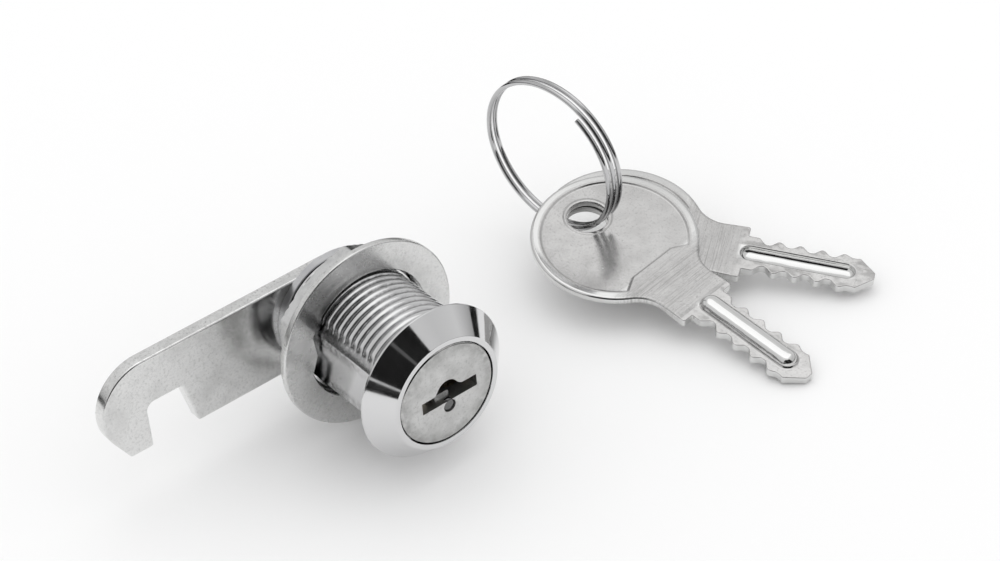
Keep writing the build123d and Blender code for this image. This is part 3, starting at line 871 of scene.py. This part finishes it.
def tube(skin, points, radius, sides):
    """A round tube along points, with its ends closed and slightly rounded."""
    points = [Vector(p) for p in points]
    last = len(points) - 1
    across = (points[1] - points[0]).orthogonal().normalized()
    turns = [FULL_TURN * k / sides for k in range(sides)]
    rings = []
    for i, point in enumerate(points):
        ahead = (points[min(i + 1, last)] - points[max(i - 1, 0)]).normalized()
        across = (across - ahead * across.dot(ahead)).normalized()
        up = ahead.cross(across)
        sections = [(0.0, 1.0)]
        if i == 0:
            sections.insert(0, (-0.2, 0.82))
        if i == last:
            sections.append((0.2, 0.82))
        for shift, share in sections:
            middle, reach = point + ahead * (radius * shift), radius * share
            rings.append(skin.ring(middle + (across * math.cos(t) + up * math.sin(t)) * reach for t in turns))
    skin.solid(rings)


def coil(turns, steps, radius, length, start=0.0):
    """Points of a wound wire about Z, from a start angle and centred on the origin."""
    angles = [start + FULL_TURN * turns * k / steps for k in range(steps + 1)]
    return [(radius * math.cos(angle), radius * math.sin(angle), length * (k / steps - 0.5))
            for k, angle in enumerate(angles)]


def build_wafer_spring(index):
    """A real coil in place of the plain sleeve beside a wafer."""
    low, high = (Vector(corner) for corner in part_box(f"wafer_spring_{index}"))
    wire = mm(0.11)
    radius = (high.z - low.z) / 2 - wire
    centre = (low + high) / 2
    turns = 7
    wound = coil(turns, turns * 20, radius, high.x - low.x - 2.4 * wire)
    skin = Skin()
    tube(skin, [centre + Vector((along, across, up)) for across, up, along in wound], wire, 8)
    return make_object(f"wafer_coil_{index}", skin)


# The washer's hole, with the corners of the tab on the side of -X
WASHER_HOLE_R = mm(9.65)
TAB_POINTS = [Vector((-mm(8.75), mm(4.07))), Vector((-mm(8.4), mm(0.9))), Vector((-mm(9.48), -mm(1.8)))]
TAB_ANGLES = [math.degrees(math.atan2(p.y, p.x)) % 360 for p in TAB_POINTS]


def washer_hole(angles):
    """The hole's radius for each angle: round, with a pointed tab at each flat of the body."""
    radii = np.full(angles.shape, WASHER_HOLE_R)
    for start, end in zip(TAB_POINTS, TAB_POINTS[1:]):
        normal = Vector((end.y - start.y, start.x - end.x)).normalized()
        from_angle, to_angle = (math.atan2(p.y, p.x) % FULL_TURN for p in (start, end))
        for turned in (0.0, math.pi):
            local = (angles - turned) % FULL_TURN
            near = (local >= from_angle - ANGLE_SLACK) & (local <= to_angle + ANGLE_SLACK)
            reach = normal.dot(start) / (normal.x * np.cos(local[near]) + normal.y * np.sin(local[near]))
            radii[near] = np.minimum(radii[near], reach)
    return radii


def build_panel_washer():
    """Large washer: one edge rounded by the press, one nearly sharp, with two tabs in its hole."""
    edge = bpy.context.scene.lock_sizes.edge
    (_, front, _), (outer, back, _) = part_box("panel_washer")
    angles = angles_with([corner + turn for corner in TAB_ANGLES for turn in (0, 180)])
    skin = Skin()
    face_r = outer - mm(2)
    rim = rounded([(face_r, front, 0), (outer, front, edge * 1.8), (outer, back, edge * 0.8),
                   (face_r, back, 0)], closed=False)
    hole = washer_hole(angles)
    bore = [(hole + edge, back), (hole, back - edge), (hole, front + edge), (hole + edge, front)]
    rows = turned_rows(skin, angles, [*rim, *bore])
    skin.stack([*rows, rows[0]])
    return make_object("panel_washer_bright", skin)


def build_hex_nut():
    """Hexagon nut with its corners turned off on both faces and its bore chamfered."""
    (_, front, _), (across, back, _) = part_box("hex_nut")
    angles = angles_with([30.0 + 60 * k for k in range(6)], 240)
    beside = (angles + math.radians(30)) % math.radians(60) - math.radians(30)
    hexagon = across / np.cos(beside)
    slope = math.tan(math.radians(30))
    face_r, bore, chamfer = across - mm(0.6), mm(9.34), mm(0.5)
    depths = [0.0, mm(0.25), mm(0.5), mm(0.75), mm(1.0)]
    turned_off = [(np.minimum(hexagon, across - mm(0.12) + depth / slope), depth) for depth in depths]
    skin = Skin()
    rows = turned_rows(skin, angles, [
        (face_r, front),
        *((radius, front + depth) for radius, depth in turned_off),
        *((radius, back - depth) for radius, depth in reversed(turned_off)),
        (face_r, back), (bore + chamfer, back), (bore, back - chamfer),
        (bore, front + chamfer), (bore + chamfer, front)])
    skin.stack([*rows, rows[0]])
    return make_object("hex_nut_bright", skin, 24)


def build_stop_washer():
    """Washer on the square tail with the cut-out that limits the plug to a quarter turn."""
    cut_start, cut_end, step = 249.5, 380.5, 0.05
    (_, front, _), (_, back, _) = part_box("stop_washer")
    rim, cut = mm(9.0), mm(7.7)
    edge = mm(0.12)
    angles = angles_with([cut_start, cut_start + step, cut_end, cut_end - step, *SQUARE_CORNERS], 180)
    degrees = np.degrees(angles)
    open_part = (degrees > cut_start + step / 2) | (degrees < cut_end - 360 - step / 2)
    outer = np.where(open_part, cut, rim)
    inner = box_radius(angles, HOLE_HALF, HOLE_HALF)
    skin = Skin()
    rows = turned_rows(skin, angles, [
        (outer - edge, front), (outer, front + edge), (outer, back - edge), (outer - edge, back),
        (inner, back), (inner, front)])
    skin.stack([*rows, rows[0]])
    return make_object("stop_washer_plated", skin)


def cam_outline():
    """The cam seen from the front: round boss, straight bar, round end and the hook's notch."""
    half, tip_x = mm(7.2), -mm(30.1)
    hook_x, notch_x, flare, roof = -mm(30.6), -mm(24.9), mm(1.7), -mm(0.1)
    boss = arc((0, 0), half, -90, 90, 48)
    end = arc((tip_x, 0), half, 90, 212, 60)
    hook = [(tip_x - mm(4.05), -half, mm(0.35)), (hook_x, -half, mm(0.35)), (hook_x, roof, mm(1.3)),
            (notch_x, roof, mm(0.6)), (notch_x + flare, -half, mm(0.32))]
    corners = [(p.x, p.y, 0) for p in boss] + [(p.x, p.y, 0) for p in end] + hook
    return rounded(corners, steps=8)


def build_cam():
    """The hooked cam: front edge rolled over by the press, back edge sharp, square hole."""
    outline = cam_outline()
    skin = Skin()
    roll, sharp = mm(0.28), mm(0.07)
    rolled = ((1.0, 0.0), (0.62, 0.07), (0.29, 0.29), (0.07, 0.62), (0.0, 1.0))
    layers = [(roll + BESIDE / 2, 0.0)] + [(roll * share, roll * depth) for share, depth in rolled]
    thickness = CAM_BACK_Y - CAM_Y
    layers += [(0.0, thickness - sharp), (sharp, thickness), (sharp + BESIDE, thickness)]
    rings = [skin.upright(inset(outline, share), CAM_Y + depth) for share, depth in layers]
    skin.stack(rings)
    edge, corner = mm(0.12), mm(0.3)
    holes = []
    for share, depth in ((edge, 0.0), (0.0, edge), (0.0, thickness - edge), (edge, thickness)):
        side = HOLE_HALF + share
        square = rounded([(-side, -side, corner), (side, -side, corner), (side, side, corner),
                          (-side, side, corner)])
        holes.append(skin.upright(square, CAM_Y + depth))
    skin.stack(holes)
    skin.cap(rings[0], holes[0])
    skin.cap(rings[-1], holes[-1])
    return make_object("cam_hooked", skin, 40)


def build_lock_washer():
    """Spring washer: a square wire in one turn, its two cut ends a little apart along the axis."""
    (_, front, _), (outer, back, _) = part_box("lock_washer")
    inner, gap, edge = mm(2.0), 4.5, mm(0.1)
    angles = np.radians(np.linspace(90 + gap, 450 - gap, 97))
    wave = mm(0.06) * np.linspace(-1, 1, len(angles))
    skin = Skin()
    section = rounded([(inner, front + edge, edge), (outer, front + edge, edge), (outer, back - edge, edge),
                       (inner, back - edge, edge)], steps=3)
    rows = turned_rows(skin, angles, [(p.x, np.clip(p.y + wave, front, back)) for p in section])
    skin.stack([*rows, rows[0]], closed=False)
    skin.cap([row[0] for row in rows])
    skin.cap([row[-1] for row in rows])
    return make_object("lock_washer_split", skin)


def build_cam_screw():
    """Pan-head screw with a cross recess."""
    (_, start, _), (head_r, end, _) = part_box("cam_screw")
    skin = Skin()
    shank, edge = mm(1.93), mm(0.15)
    profile = rounded([(mm(0.9), start, 0), (mm(1.5), start, 0), (shank, start + mm(0.45), 0),
                       (shank, HEAD_Y, 0), (head_r - edge, HEAD_Y, 0), (head_r, HEAD_Y + mm(0.3), edge),
                       (head_r, end, mm(1.2)), (mm(1.0), end, 0)], steps=8, closed=False)
    skin.solid(turned_rows(skin, angles_with(count=96), profile))
    screw = make_object("cam_screw_cross", skin)
    wide, narrow = mm(2.1), mm(0.38)
    for turn in (0, 90):
        slot = Skin()
        rings = []
        for reach, place in ((wide, end + mm(0.5)), (wide - mm(0.9), end - mm(1.1))):
            corners = ((-reach, -narrow), (reach, -narrow), (reach, narrow), (-reach, narrow))
            spun = [Matrix.Rotation(math.radians(turn), 2) @ Vector(c) for c in corners]
            rings.append(slot.upright(spun, place))
        slot.solid(rings)
        combine(screw, make_object("cross", slot), "DIFFERENCE")
    sharpen(screw, 30)
    return screw


# The keys and their ring

BOW_R = mm(12.24)
FIELD_R = mm(10.84)
KEY_HALF = mm(0.65)
SHOULDER_X, SHOULDER_HALF = mm(18.1), mm(4.97)
BLADE_HALF, BLADE_END = mm(3.25), mm(37.0)
CUT_DEPTHS = [mm(d) for d in (1.1, 0.9, 1.05, 1.0, 0.5)]
FIRST_CUT, CUT_PITCH = mm(3.0), mm(3.15)
KEY_HOLE_X = -mm(5.4)
RING_R = mm(12.22)
RING_PLACE = (mm(-12.81), 0.0, mm(8.11))


def key_outline():
    """The key from above, anticlockwise: bow, filleted neck, shoulders, cut blade and tip."""
    neck = mm(5.0)
    centre_y = SHOULDER_HALF + neck
    centre_x = math.sqrt((BOW_R + neck) ** 2 - centre_y ** 2)
    meets = math.degrees(math.atan2(centre_y, centre_x))
    bow = arc((0, 0), BOW_R, 180, meets, 60)
    fillet = arc((centre_x, centre_y), neck, 180 + meets, 270, 10)
    corners = [(SHOULDER_X, SHOULDER_HALF, mm(0.35)), (SHOULDER_X, BLADE_HALF, mm(0.15)),
               (SHOULDER_X + mm(1.6), BLADE_HALF, mm(0.38))]
    for index, depth in enumerate(CUT_DEPTHS):
        middle = SHOULDER_X + FIRST_CUT + CUT_PITCH * index
        root, half_root = BLADE_HALF - depth, mm(0.4)
        corners += [(middle - half_root, root, mm(0.7)), (middle + half_root, root, mm(0.7)),
                    (middle + CUT_PITCH / 2, BLADE_HALF + mm(0.1), mm(0.6))]
    corners[-1] = (mm(34.5), mm(2.9), mm(0.25))
    corners += [(BLADE_END, mm(0.6), mm(0.3)), (BLADE_END, 0, 0)]
    start = [(fillet[-1].x, fillet[-1].y, 0)]
    half = bow + fillet[1:] + rounded(start + corners, closed=False)[1:]
    other = [Vector((p.x, -p.y)) for p in reversed(half[1:-1])]
    return list(reversed(half + other))


def stadium(start, end, half):
    """A slot-shaped outline along X, anticlockwise."""
    return arc((end - half, 0), half, -90, 90, 20) + arc((start + half, 0), half, 90, 270, 20)


def recess_outline():
    """Border of the bow's sunk field: a circle whose end follows the flared panel of the neck."""
    end_x, half, flare_x, corner = mm(7.5), mm(3.95), mm(8.8), mm(0.8)
    steep = math.degrees(math.acos(flare_x / FIELD_R))
    circle = [(p.x, p.y, 0) for p in arc((0, 0), FIELD_R, steep, 360 - steep, 110)]
    return rounded([*circle, (end_x, -half, corner), (end_x, half, corner)])


def quarter(radius, steps=5):
    """Pairs of inset and drop along a rounded edge, from the flat face to the upright wall."""
    for k in range(steps + 1):
        angle = math.pi / 2 * k / steps
        yield radius * (1 - math.sin(angle)), radius * (1 - math.cos(angle))


def build_key(name):
    """One key in its own flat frame: bow at the origin, blade along +X, rib towards +Z."""
    sizes = bpy.context.scene.key_sizes
    outline = key_outline()
    skin = Skin()
    shares = [blend(p.x, mm(13.5), mm(18.0), sizes.bow_rounding, sizes.blade_rounding) for p in outline]
    sides = {}
    for sign in (1, -1):
        rings = []
        for share, drop in quarter(1.0):
            moved = inset(outline, [s * share for s in shares])
            rings.append(skin.ring((p.x, p.y, sign * (KEY_HALF - s * drop)) for p, s in zip(moved, shares)))
        flat = inset(outline, [s + BESIDE for s in shares])
        rings.insert(0, skin.level(flat, sign * KEY_HALF))
        skin.stack(rings)
        sides[sign] = rings
    skin.bridge(sides[1][-1], sides[-1][-1])
    hole = {sign: key_hole(skin, sign) for sign in (1, -1)}
    skin.bridge(hole[1]["wall"], hole[-1]["wall"])
    for sign in (1, -1):
        border, floor = sunk_field(skin, sign)
        pressed = rib(skin) if sign > 0 else channel(skin)
        skin.cap(sides[sign][0], border, pressed)
        skin.cap(floor, hole[sign]["foot"])
    return make_object(name, skin, 38)


def blend(value, low, high, first, last):
    """A smooth change from the first result to the last one as the value goes from low to high."""
    share = min(1.0, max(0.0, (value - low) / (high - low)))
    share = share * share * (3 - 2 * share)
    return first + (last - first) * share


# Pressed forms of the keys, in millimetres. Field, rib and channel: distance inside the border and depth
# or height. Collar: distance from the hole's middle and depth.
FIELD_STEPS = ((-0.05, 0.0), (0.0, 0.0), (0.07, 0.03), (0.18, 0.18), (0.28, 0.23), (0.38, 0.25), (0.45, 0.25))
COLLAR_STEPS = ((3.8, 0.25), (3.72, 0.25), (3.62, 0.23), (3.5, 0.14), (3.4, 0.11), (3.2, 0.11), (3.06, 0.16),
                (3.0, 0.3))
RIB_STEPS = ((-0.05, 0.0), (0.0, 0.0), (0.10, 0.03), (0.22, 0.13), (0.32, 0.32), (0.44, 0.60), (0.60, 0.83),
             (0.80, 1.0), (1.04, 1.11), (1.30, 1.17), (1.60, 1.19), (1.78, 1.2))
CHANNEL_STEPS = ((-0.05, 0.0), (0.0, 0.0), (0.07, 0.02), (0.15, 0.12), (0.20, 0.35), (0.28, 0.62),
                 (0.44, 0.86), (0.68, 1.0), (0.95, 1.07), (1.2, 1.1), (1.46, 1.1))


def sunk_field(skin, sign):
    """The sloped wall round the bow's field: returns its upper border and its foot."""
    border = recess_outline()
    rings = []
    for share, drop in FIELD_STEPS:
        rings.append(skin.level(inset(border, mm(share)), sign * (KEY_HALF - mm(drop))))
    skin.stack(rings)
    return rings[0], rings[-1]


def key_hole(skin, sign):
    """The hole's raised collar: its foot in the sunk field, its crown and the wall of the hole."""
    rings = []
    for radius, drop in COLLAR_STEPS:
        circle = arc((KEY_HOLE_X, 0), mm(radius), 0, 360, 64)[:-1]
        rings.append(skin.level(circle, sign * (KEY_HALF - mm(drop))))
    skin.stack(rings)
    return {"foot": rings[0], "wall": rings[-1]}


def pressed_form(skin, start, end, half, steps, sign):
    """Rings over a stadium from its border to its crest; steps are pairs of inset and height."""
    rings = []
    for share, height in steps:
        loop = stadium(start + mm(share), end - mm(share), half - mm(share))
        rings.append(skin.level(loop, sign * KEY_HALF + mm(height)))
    skin.stack(rings)
    middle = rings[-1]
    count = len(middle)
    for i in range(count // 2 - 1):
        skin.faces.append((middle[i], middle[i + 1], middle[count - 2 - i], middle[count - 1 - i]))
    return rings[0]


def rib(skin):
    """The bright raised rib on one face, with a soft foot and a round crest."""
    return pressed_form(skin, mm(17.0), mm(34.6), mm(1.8), RIB_STEPS, 1)


def channel(skin):
    """The groove on the other face, sunk under the rib."""
    return pressed_form(skin, mm(17.3), mm(34.3), mm(1.48), CHANNEL_STEPS, -1)


def key_stack():
    """The front key's own frame as it lies beside the lock: its tilt, and the place at which the ring's
    middle comes to the point that the keys swing about."""
    along = Vector((0.1051, -0.9785, -0.1773)).normalized()
    up = Vector((-0.0538, -0.1837, 0.9815))
    across = up.cross(along).normalized()
    up = along.cross(across)
    turn = Matrix((along, across, up)).transposed().to_4x4()
    swing = next(j for j in frame["joints"] if j["name"] == "front_key_swing")
    hub = Vector(swing["pos_m"])
    place = hub - turn.to_3x3() @ Vector(RING_PLACE)
    return Matrix.Translation(place) @ turn


def back_key_place():
    """The second key lies under the first, turned over and fanned out."""
    below = Matrix.Translation((-mm(1.05), mm(2.82), -(2 * KEY_HALF + mm(0.25))))
    return below @ Matrix.Rotation(math.radians(30.7), 4, "Z") @ Matrix.Rotation(math.pi, 4, "X")


def ring_place():
    """The ring's own frame: nearly square to the keys, through their holes."""
    turn = Matrix.Rotation(math.radians(2.3), 4, "Z") @ Matrix.Rotation(math.radians(86.6), 4, "X")
    return key_stack() @ Matrix.Translation(RING_PLACE) @ turn


def build_ring():
    """The split ring: one wire wound a little over two turns, its ends cut square."""
    wire = bpy.context.scene.key_sizes.wire_radius
    turns, pitch, start = 2.25, mm(1.18), math.radians(-25.0)
    skin = Skin()
    tube(skin, coil(turns, int(turns * 200), RING_R - wire, pitch * turns, start), wire, 20)
    return make_object("split_ring_wire", skin)


def lay(item, place):
    """Moves a mesh to where it lies, so that the object itself stays square to the lock."""
    item.data.transform(place)
    return item


# The stage

CAMERA_PLACE = (mm(-157.67), mm(-236.73), mm(239.95))
CAMERA_RIGHT = (0.7757, -0.6271, -0.0705)
CAMERA_UP = (0.4332, 0.4481, 0.782)
FOCAL_PIXELS, IMAGE_WIDTH = 2800, 1000
SOFT_BOX_PLACE, SOFT_BOX_SIZE = (0.15, 0.1, 0.7), (0.6, 0.6)


def add_camera():
    """A camera at the picture's own viewing angle, worked out from the lock's ellipses."""
    right = Vector(CAMERA_RIGHT).normalized()
    up = Vector(CAMERA_UP)
    up = (up - right * up.dot(right)).normalized()
    back = right.cross(up)
    lens = bpy.data.cameras.new("camera")
    lens.sensor_width = 36.0
    lens.lens = lens.sensor_width * FOCAL_PIXELS / IMAGE_WIDTH
    lens.clip_start, lens.clip_end = 0.01, 20.0
    camera = put_in_scene("camera", lens)
    camera.matrix_world = Matrix.Translation(CAMERA_PLACE) @ Matrix((right, up, back)).transposed().to_4x4()
    bpy.context.scene.camera = camera


def add_lamp(name, place, target, size, power):
    """A square lamp that looks at a point."""
    lamp = bpy.data.lights.new(name, "AREA")
    lamp.shape = "RECTANGLE"
    lamp.size, lamp.size_y = size
    lamp.energy = power
    item = put_in_scene(name, lamp)
    item.location = place
    item.rotation_euler = (Vector(target) - Vector(place)).to_track_quat("-Z", "Y").to_euler()


def tones(tree, value, stops):
    """Greys along a value from -1 to 1; each stop is a place and a brightness."""
    node = tree.nodes.new("ShaderNodeValToRGB")
    ramp = node.color_ramp
    ramp.elements.remove(ramp.elements[1])
    ramp.elements[0].position = 0.0
    for place, tone in stops:
        ramp.elements.new((place + 1) / 2).color = (tone, tone, tone, 1)
    ramp.elements.remove(ramp.elements[0])
    tree.links.new(mapped(tree, value, -1.0, 1.0), node.inputs["Fac"])
    return node.outputs["Color"]


# The room as metal mirrors it. The dark part lies round the camera, and its axis runs across it, from
# high on the right to low on the left.
DARK_AXIS = (-0.9626, -0.1077, -0.2490)
DARK_START, DARK_SOFTNESS = -0.2226, 0.01
DARK_SIDE = (-0.28, -0.34)
DARK_HEIGHT = (0.86, 0.82)
TABLE_REACH = (mm(170.0), mm(250.0))
HEIGHT_TONES = ((-1.0, 0.012), (0.045, 0.012), (0.065, 0.45), (0.20, 0.60), (0.40, 0.80), (0.70, 0.72),
                (1.0, 0.95))
DARK_TONES = ((-0.23, 0.012), (0.175, 0.016), (0.20, 0.13), (0.235, 0.12), (0.26, 0.014), (0.765, 0.012),
              (0.778, 0.7), (0.788, 0.7), (0.80, 0.03), (1.0, 0.03))


def world_light(look):
    """White for the camera; for metal, a white room with a dark part round the camera."""
    world = bpy.data.worlds.new("studio")
    bpy.context.scene.world = world
    world.use_nodes = True
    tree = world.node_tree
    tree.nodes.clear()
    new, link = tree.nodes.new, tree.links.new
    direction = new("ShaderNodeTexCoord").outputs["Generated"]
    split = new("ShaderNodeSeparateXYZ")
    link(direction, split.inputs[0])
    along = measured(tree, "DOT_PRODUCT", direction, DARK_AXIS)
    within = joined(tree, "MULTIPLY",
                    mapped(tree, along, DARK_START - DARK_SOFTNESS, DARK_START + DARK_SOFTNESS),
                    mapped(tree, split.outputs["Y"], *DARK_SIDE),
                    mapped(tree, split.outputs["Z"], *DARK_HEIGHT))
    room = mixed(tree, within, tones(tree, split.outputs["Z"], HEIGHT_TONES), tones(tree, along, DARK_TONES))
    mirrored = new("ShaderNodeBackground")
    link(room, mirrored.inputs["Color"])
    mirrored.inputs["Strength"].default_value = look.mirrored
    plain = new("ShaderNodeBackground")
    plain.inputs["Color"].default_value = (1, 1, 1, 1)
    rays = new("ShaderNodeLightPath")
    mix = new("ShaderNodeMixShader")
    link(rays.outputs["Is Glossy Ray"], mix.inputs["Fac"])
    link(plain.outputs["Background"], mix.inputs[1])
    link(mirrored.outputs["Background"], mix.inputs[2])
    link(mix.outputs["Shader"], new("ShaderNodeOutputWorld").inputs["Surface"])


def floor_material(look):
    """Pale ground that keeps soft shadows; metal mirrors it as a table that ends in the dark."""
    material = bpy.data.materials.new("pale_ground")
    material.use_nodes = True
    tree = material.node_tree
    tree.nodes.clear()
    new, link = tree.nodes.new, tree.links.new
    away = measured(tree, "LENGTH", new("ShaderNodeTexCoord").outputs["Object"])
    beyond = mapped(tree, away, *TABLE_REACH)
    mirrored = new("ShaderNodeLightPath").outputs["Is Glossy Ray"]
    share = joined(tree, "MULTIPLY", beyond, mirrored)
    ground = new("ShaderNodeBsdfDiffuse")
    link(mixed(tree, share, look.ground, (0.02, 0.02, 0.02)), ground.inputs["Color"])
    link(ground.outputs["BSDF"], new("ShaderNodeOutputMaterial").inputs["Surface"])
    return material


def add_floor(look):
    """A wide floor just under the washer and the keys."""
    mesh = bpy.data.meshes.new("floor")
    reach, level = 3.0, CAD_BOX[0][2] - mm(0.02)
    corners = [(-reach, -reach, level), (reach, -reach, level), (reach, reach, level), (-reach, reach, level)]
    mesh.from_pydata(corners, [], [(0, 1, 2, 3)])
    mesh.materials.append(floor_material(look))
    put_in_scene("floor", mesh)


# Operators

class BuildHousing(bpy.types.Operator):
    """Build the chromed bezel and threaded body"""
    bl_idname = "lock.build_housing"
    bl_label = "Housing"

    def execute(self, context):
        finish_piece(build_housing(), bezel_chrome(), "lock_body", "bezel_chrome", "housing")
        return {"FINISHED"}


class BuildPlug(bpy.types.Operator):
    """Build the plug with its keyway, ward pin, wafers and springs"""
    bl_idname = "lock.build_plug"
    bl_label = "Plug"

    def execute(self, context):
        nickel = face_nickel()
        plug, pin = build_plug()
        finish_piece(plug, nickel, "turning_plug", "plug_nickel", "plug")
        finish_piece(pin, pin_painted_shade(), "turning_plug", "plug_nickel", "plug")
        brass, steel = brass_plain(), spring_wire()
        for index, (_, side) in enumerate(wafer_places(), start=1):
            wafer = frame["nodes"][f"wafer_{index}"]
            wafer.data.materials.clear()
            wafer.data.materials.append(brass)
            node = f"wafer_spring_{index}"
            spring = build_wafer_spring(index)
            dress(spring, steel, "spring_steel", node)
            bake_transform(spring)
        return {"FINISHED"}


class BuildFastening(bpy.types.Operator):
    """Build the large panel washer and the hexagon nut"""
    bl_idname = "lock.build_fastening"
    bl_label = "Washer and nut"

    def execute(self, context):
        finish_piece(build_panel_washer(), washer_nickel(), "washer", "washer_steel", "panel_washer")
        finish_piece(build_hex_nut(), nut_nickel(), "nut", "nut_steel", "hex_nut")
        return {"FINISHED"}


class BuildCam(bpy.types.Operator):
    """Build the cam, the stop washer, the split lock washer and the screw"""
    bl_idname = "lock.build_cam"
    bl_label = "Cam and its screw"

    def execute(self, context):
        zinc = zinc_plain()
        finish_piece(build_cam(), cam_nickel(), "turning_plug", "cam_steel", "cam")
        finish_piece(build_stop_washer(), zinc, "turning_plug", "stop_steel", "stop_washer")
        finish_piece(build_lock_washer(), zinc, "turning_plug", "screw_steel", "lock_washer")
        finish_piece(build_cam_screw(), zinc, "turning_plug", "screw_steel", "cam_screw")
        return {"FINISHED"}


class BuildKeys(bpy.types.Operator):
    """Build the two keys and the split ring that holds them"""
    bl_idname = "lock.build_keys"
    bl_label = "Keys and ring"

    def execute(self, context):
        front, back, ring = key_stack(), key_stack() @ back_key_place(), ring_place()
        finish_piece(lay(build_key("key_front_nickelled"), front), key_nickel("key_nickel_front", front),
                     "front_key", "key_nickel", "key_front")
        finish_piece(lay(build_key("key_back_nickelled"), back), key_nickel("key_nickel_back", back),
                     "back_key", "key_nickel", "key_back")
        finish_piece(lay(build_ring(), ring), ring_steel(ring), "ring", "ring_steel", "split_ring")
        return {"FINISHED"}


class BuildStage(bpy.types.Operator):
    """Add the pale floor, the soft light and the camera"""
    bl_idname = "lock.build_stage"
    bl_label = "Stage"

    def execute(self, context):
        look = context.scene.stage_look
        context.scene.view_settings.view_transform = "Standard"
        world_light(look)
        add_floor(look)
        add_lamp("soft_box", SOFT_BOX_PLACE, (0, 0, 0), SOFT_BOX_SIZE, look.soft_box)
        add_camera()
        return {"FINISHED"}


class LOCK_PT_panel(bpy.types.Panel):
    """Lists the lock's pieces and sizes in the sidebar"""
    bl_label = "Furniture Lock"
    bl_space_type = "VIEW_3D"
    bl_region_type = "UI"
    bl_category = "Furniture Lock"

    def draw(self, context):
        layout = self.layout
        for group in (context.scene.lock_sizes, context.scene.key_sizes, context.scene.stage_look):
            column = layout.column()
            for name in group.bl_rna.properties.keys():
                if name not in ("rna_type", "name"):
                    column.prop(group, name)
        for operator in OPERATORS:
            layout.operator(operator.bl_idname)


OPERATORS = (BuildHousing, BuildPlug, BuildFastening, BuildCam, BuildKeys, BuildStage)
GROUPS = {"lock_sizes": LockSizes, "key_sizes": KeySizes, "stage_look": StageLook}


def register():
    """Adds the sizes, the operators and the panel to Blender."""
    for cls in (*GROUPS.values(), *OPERATORS, LOCK_PT_panel):
        bpy.utils.register_class(cls)
    for name, group in GROUPS.items():
        setattr(bpy.types.Scene, name, bpy.props.PointerProperty(type=group))


def unregister():
    """Takes them out of Blender again."""
    for name in GROUPS:
        delattr(bpy.types.Scene, name)
    for cls in reversed((*GROUPS.values(), *OPERATORS, LOCK_PT_panel)):
        bpy.utils.unregister_class(cls)


def main():
    register()
    bpy.ops.lock.build_housing()
    bpy.ops.lock.build_plug()
    bpy.ops.lock.build_fastening()
    bpy.ops.lock.build_cam()
    bpy.ops.lock.build_keys()
    bpy.ops.lock.build_stage()


if __name__ == "__main__":
    main()
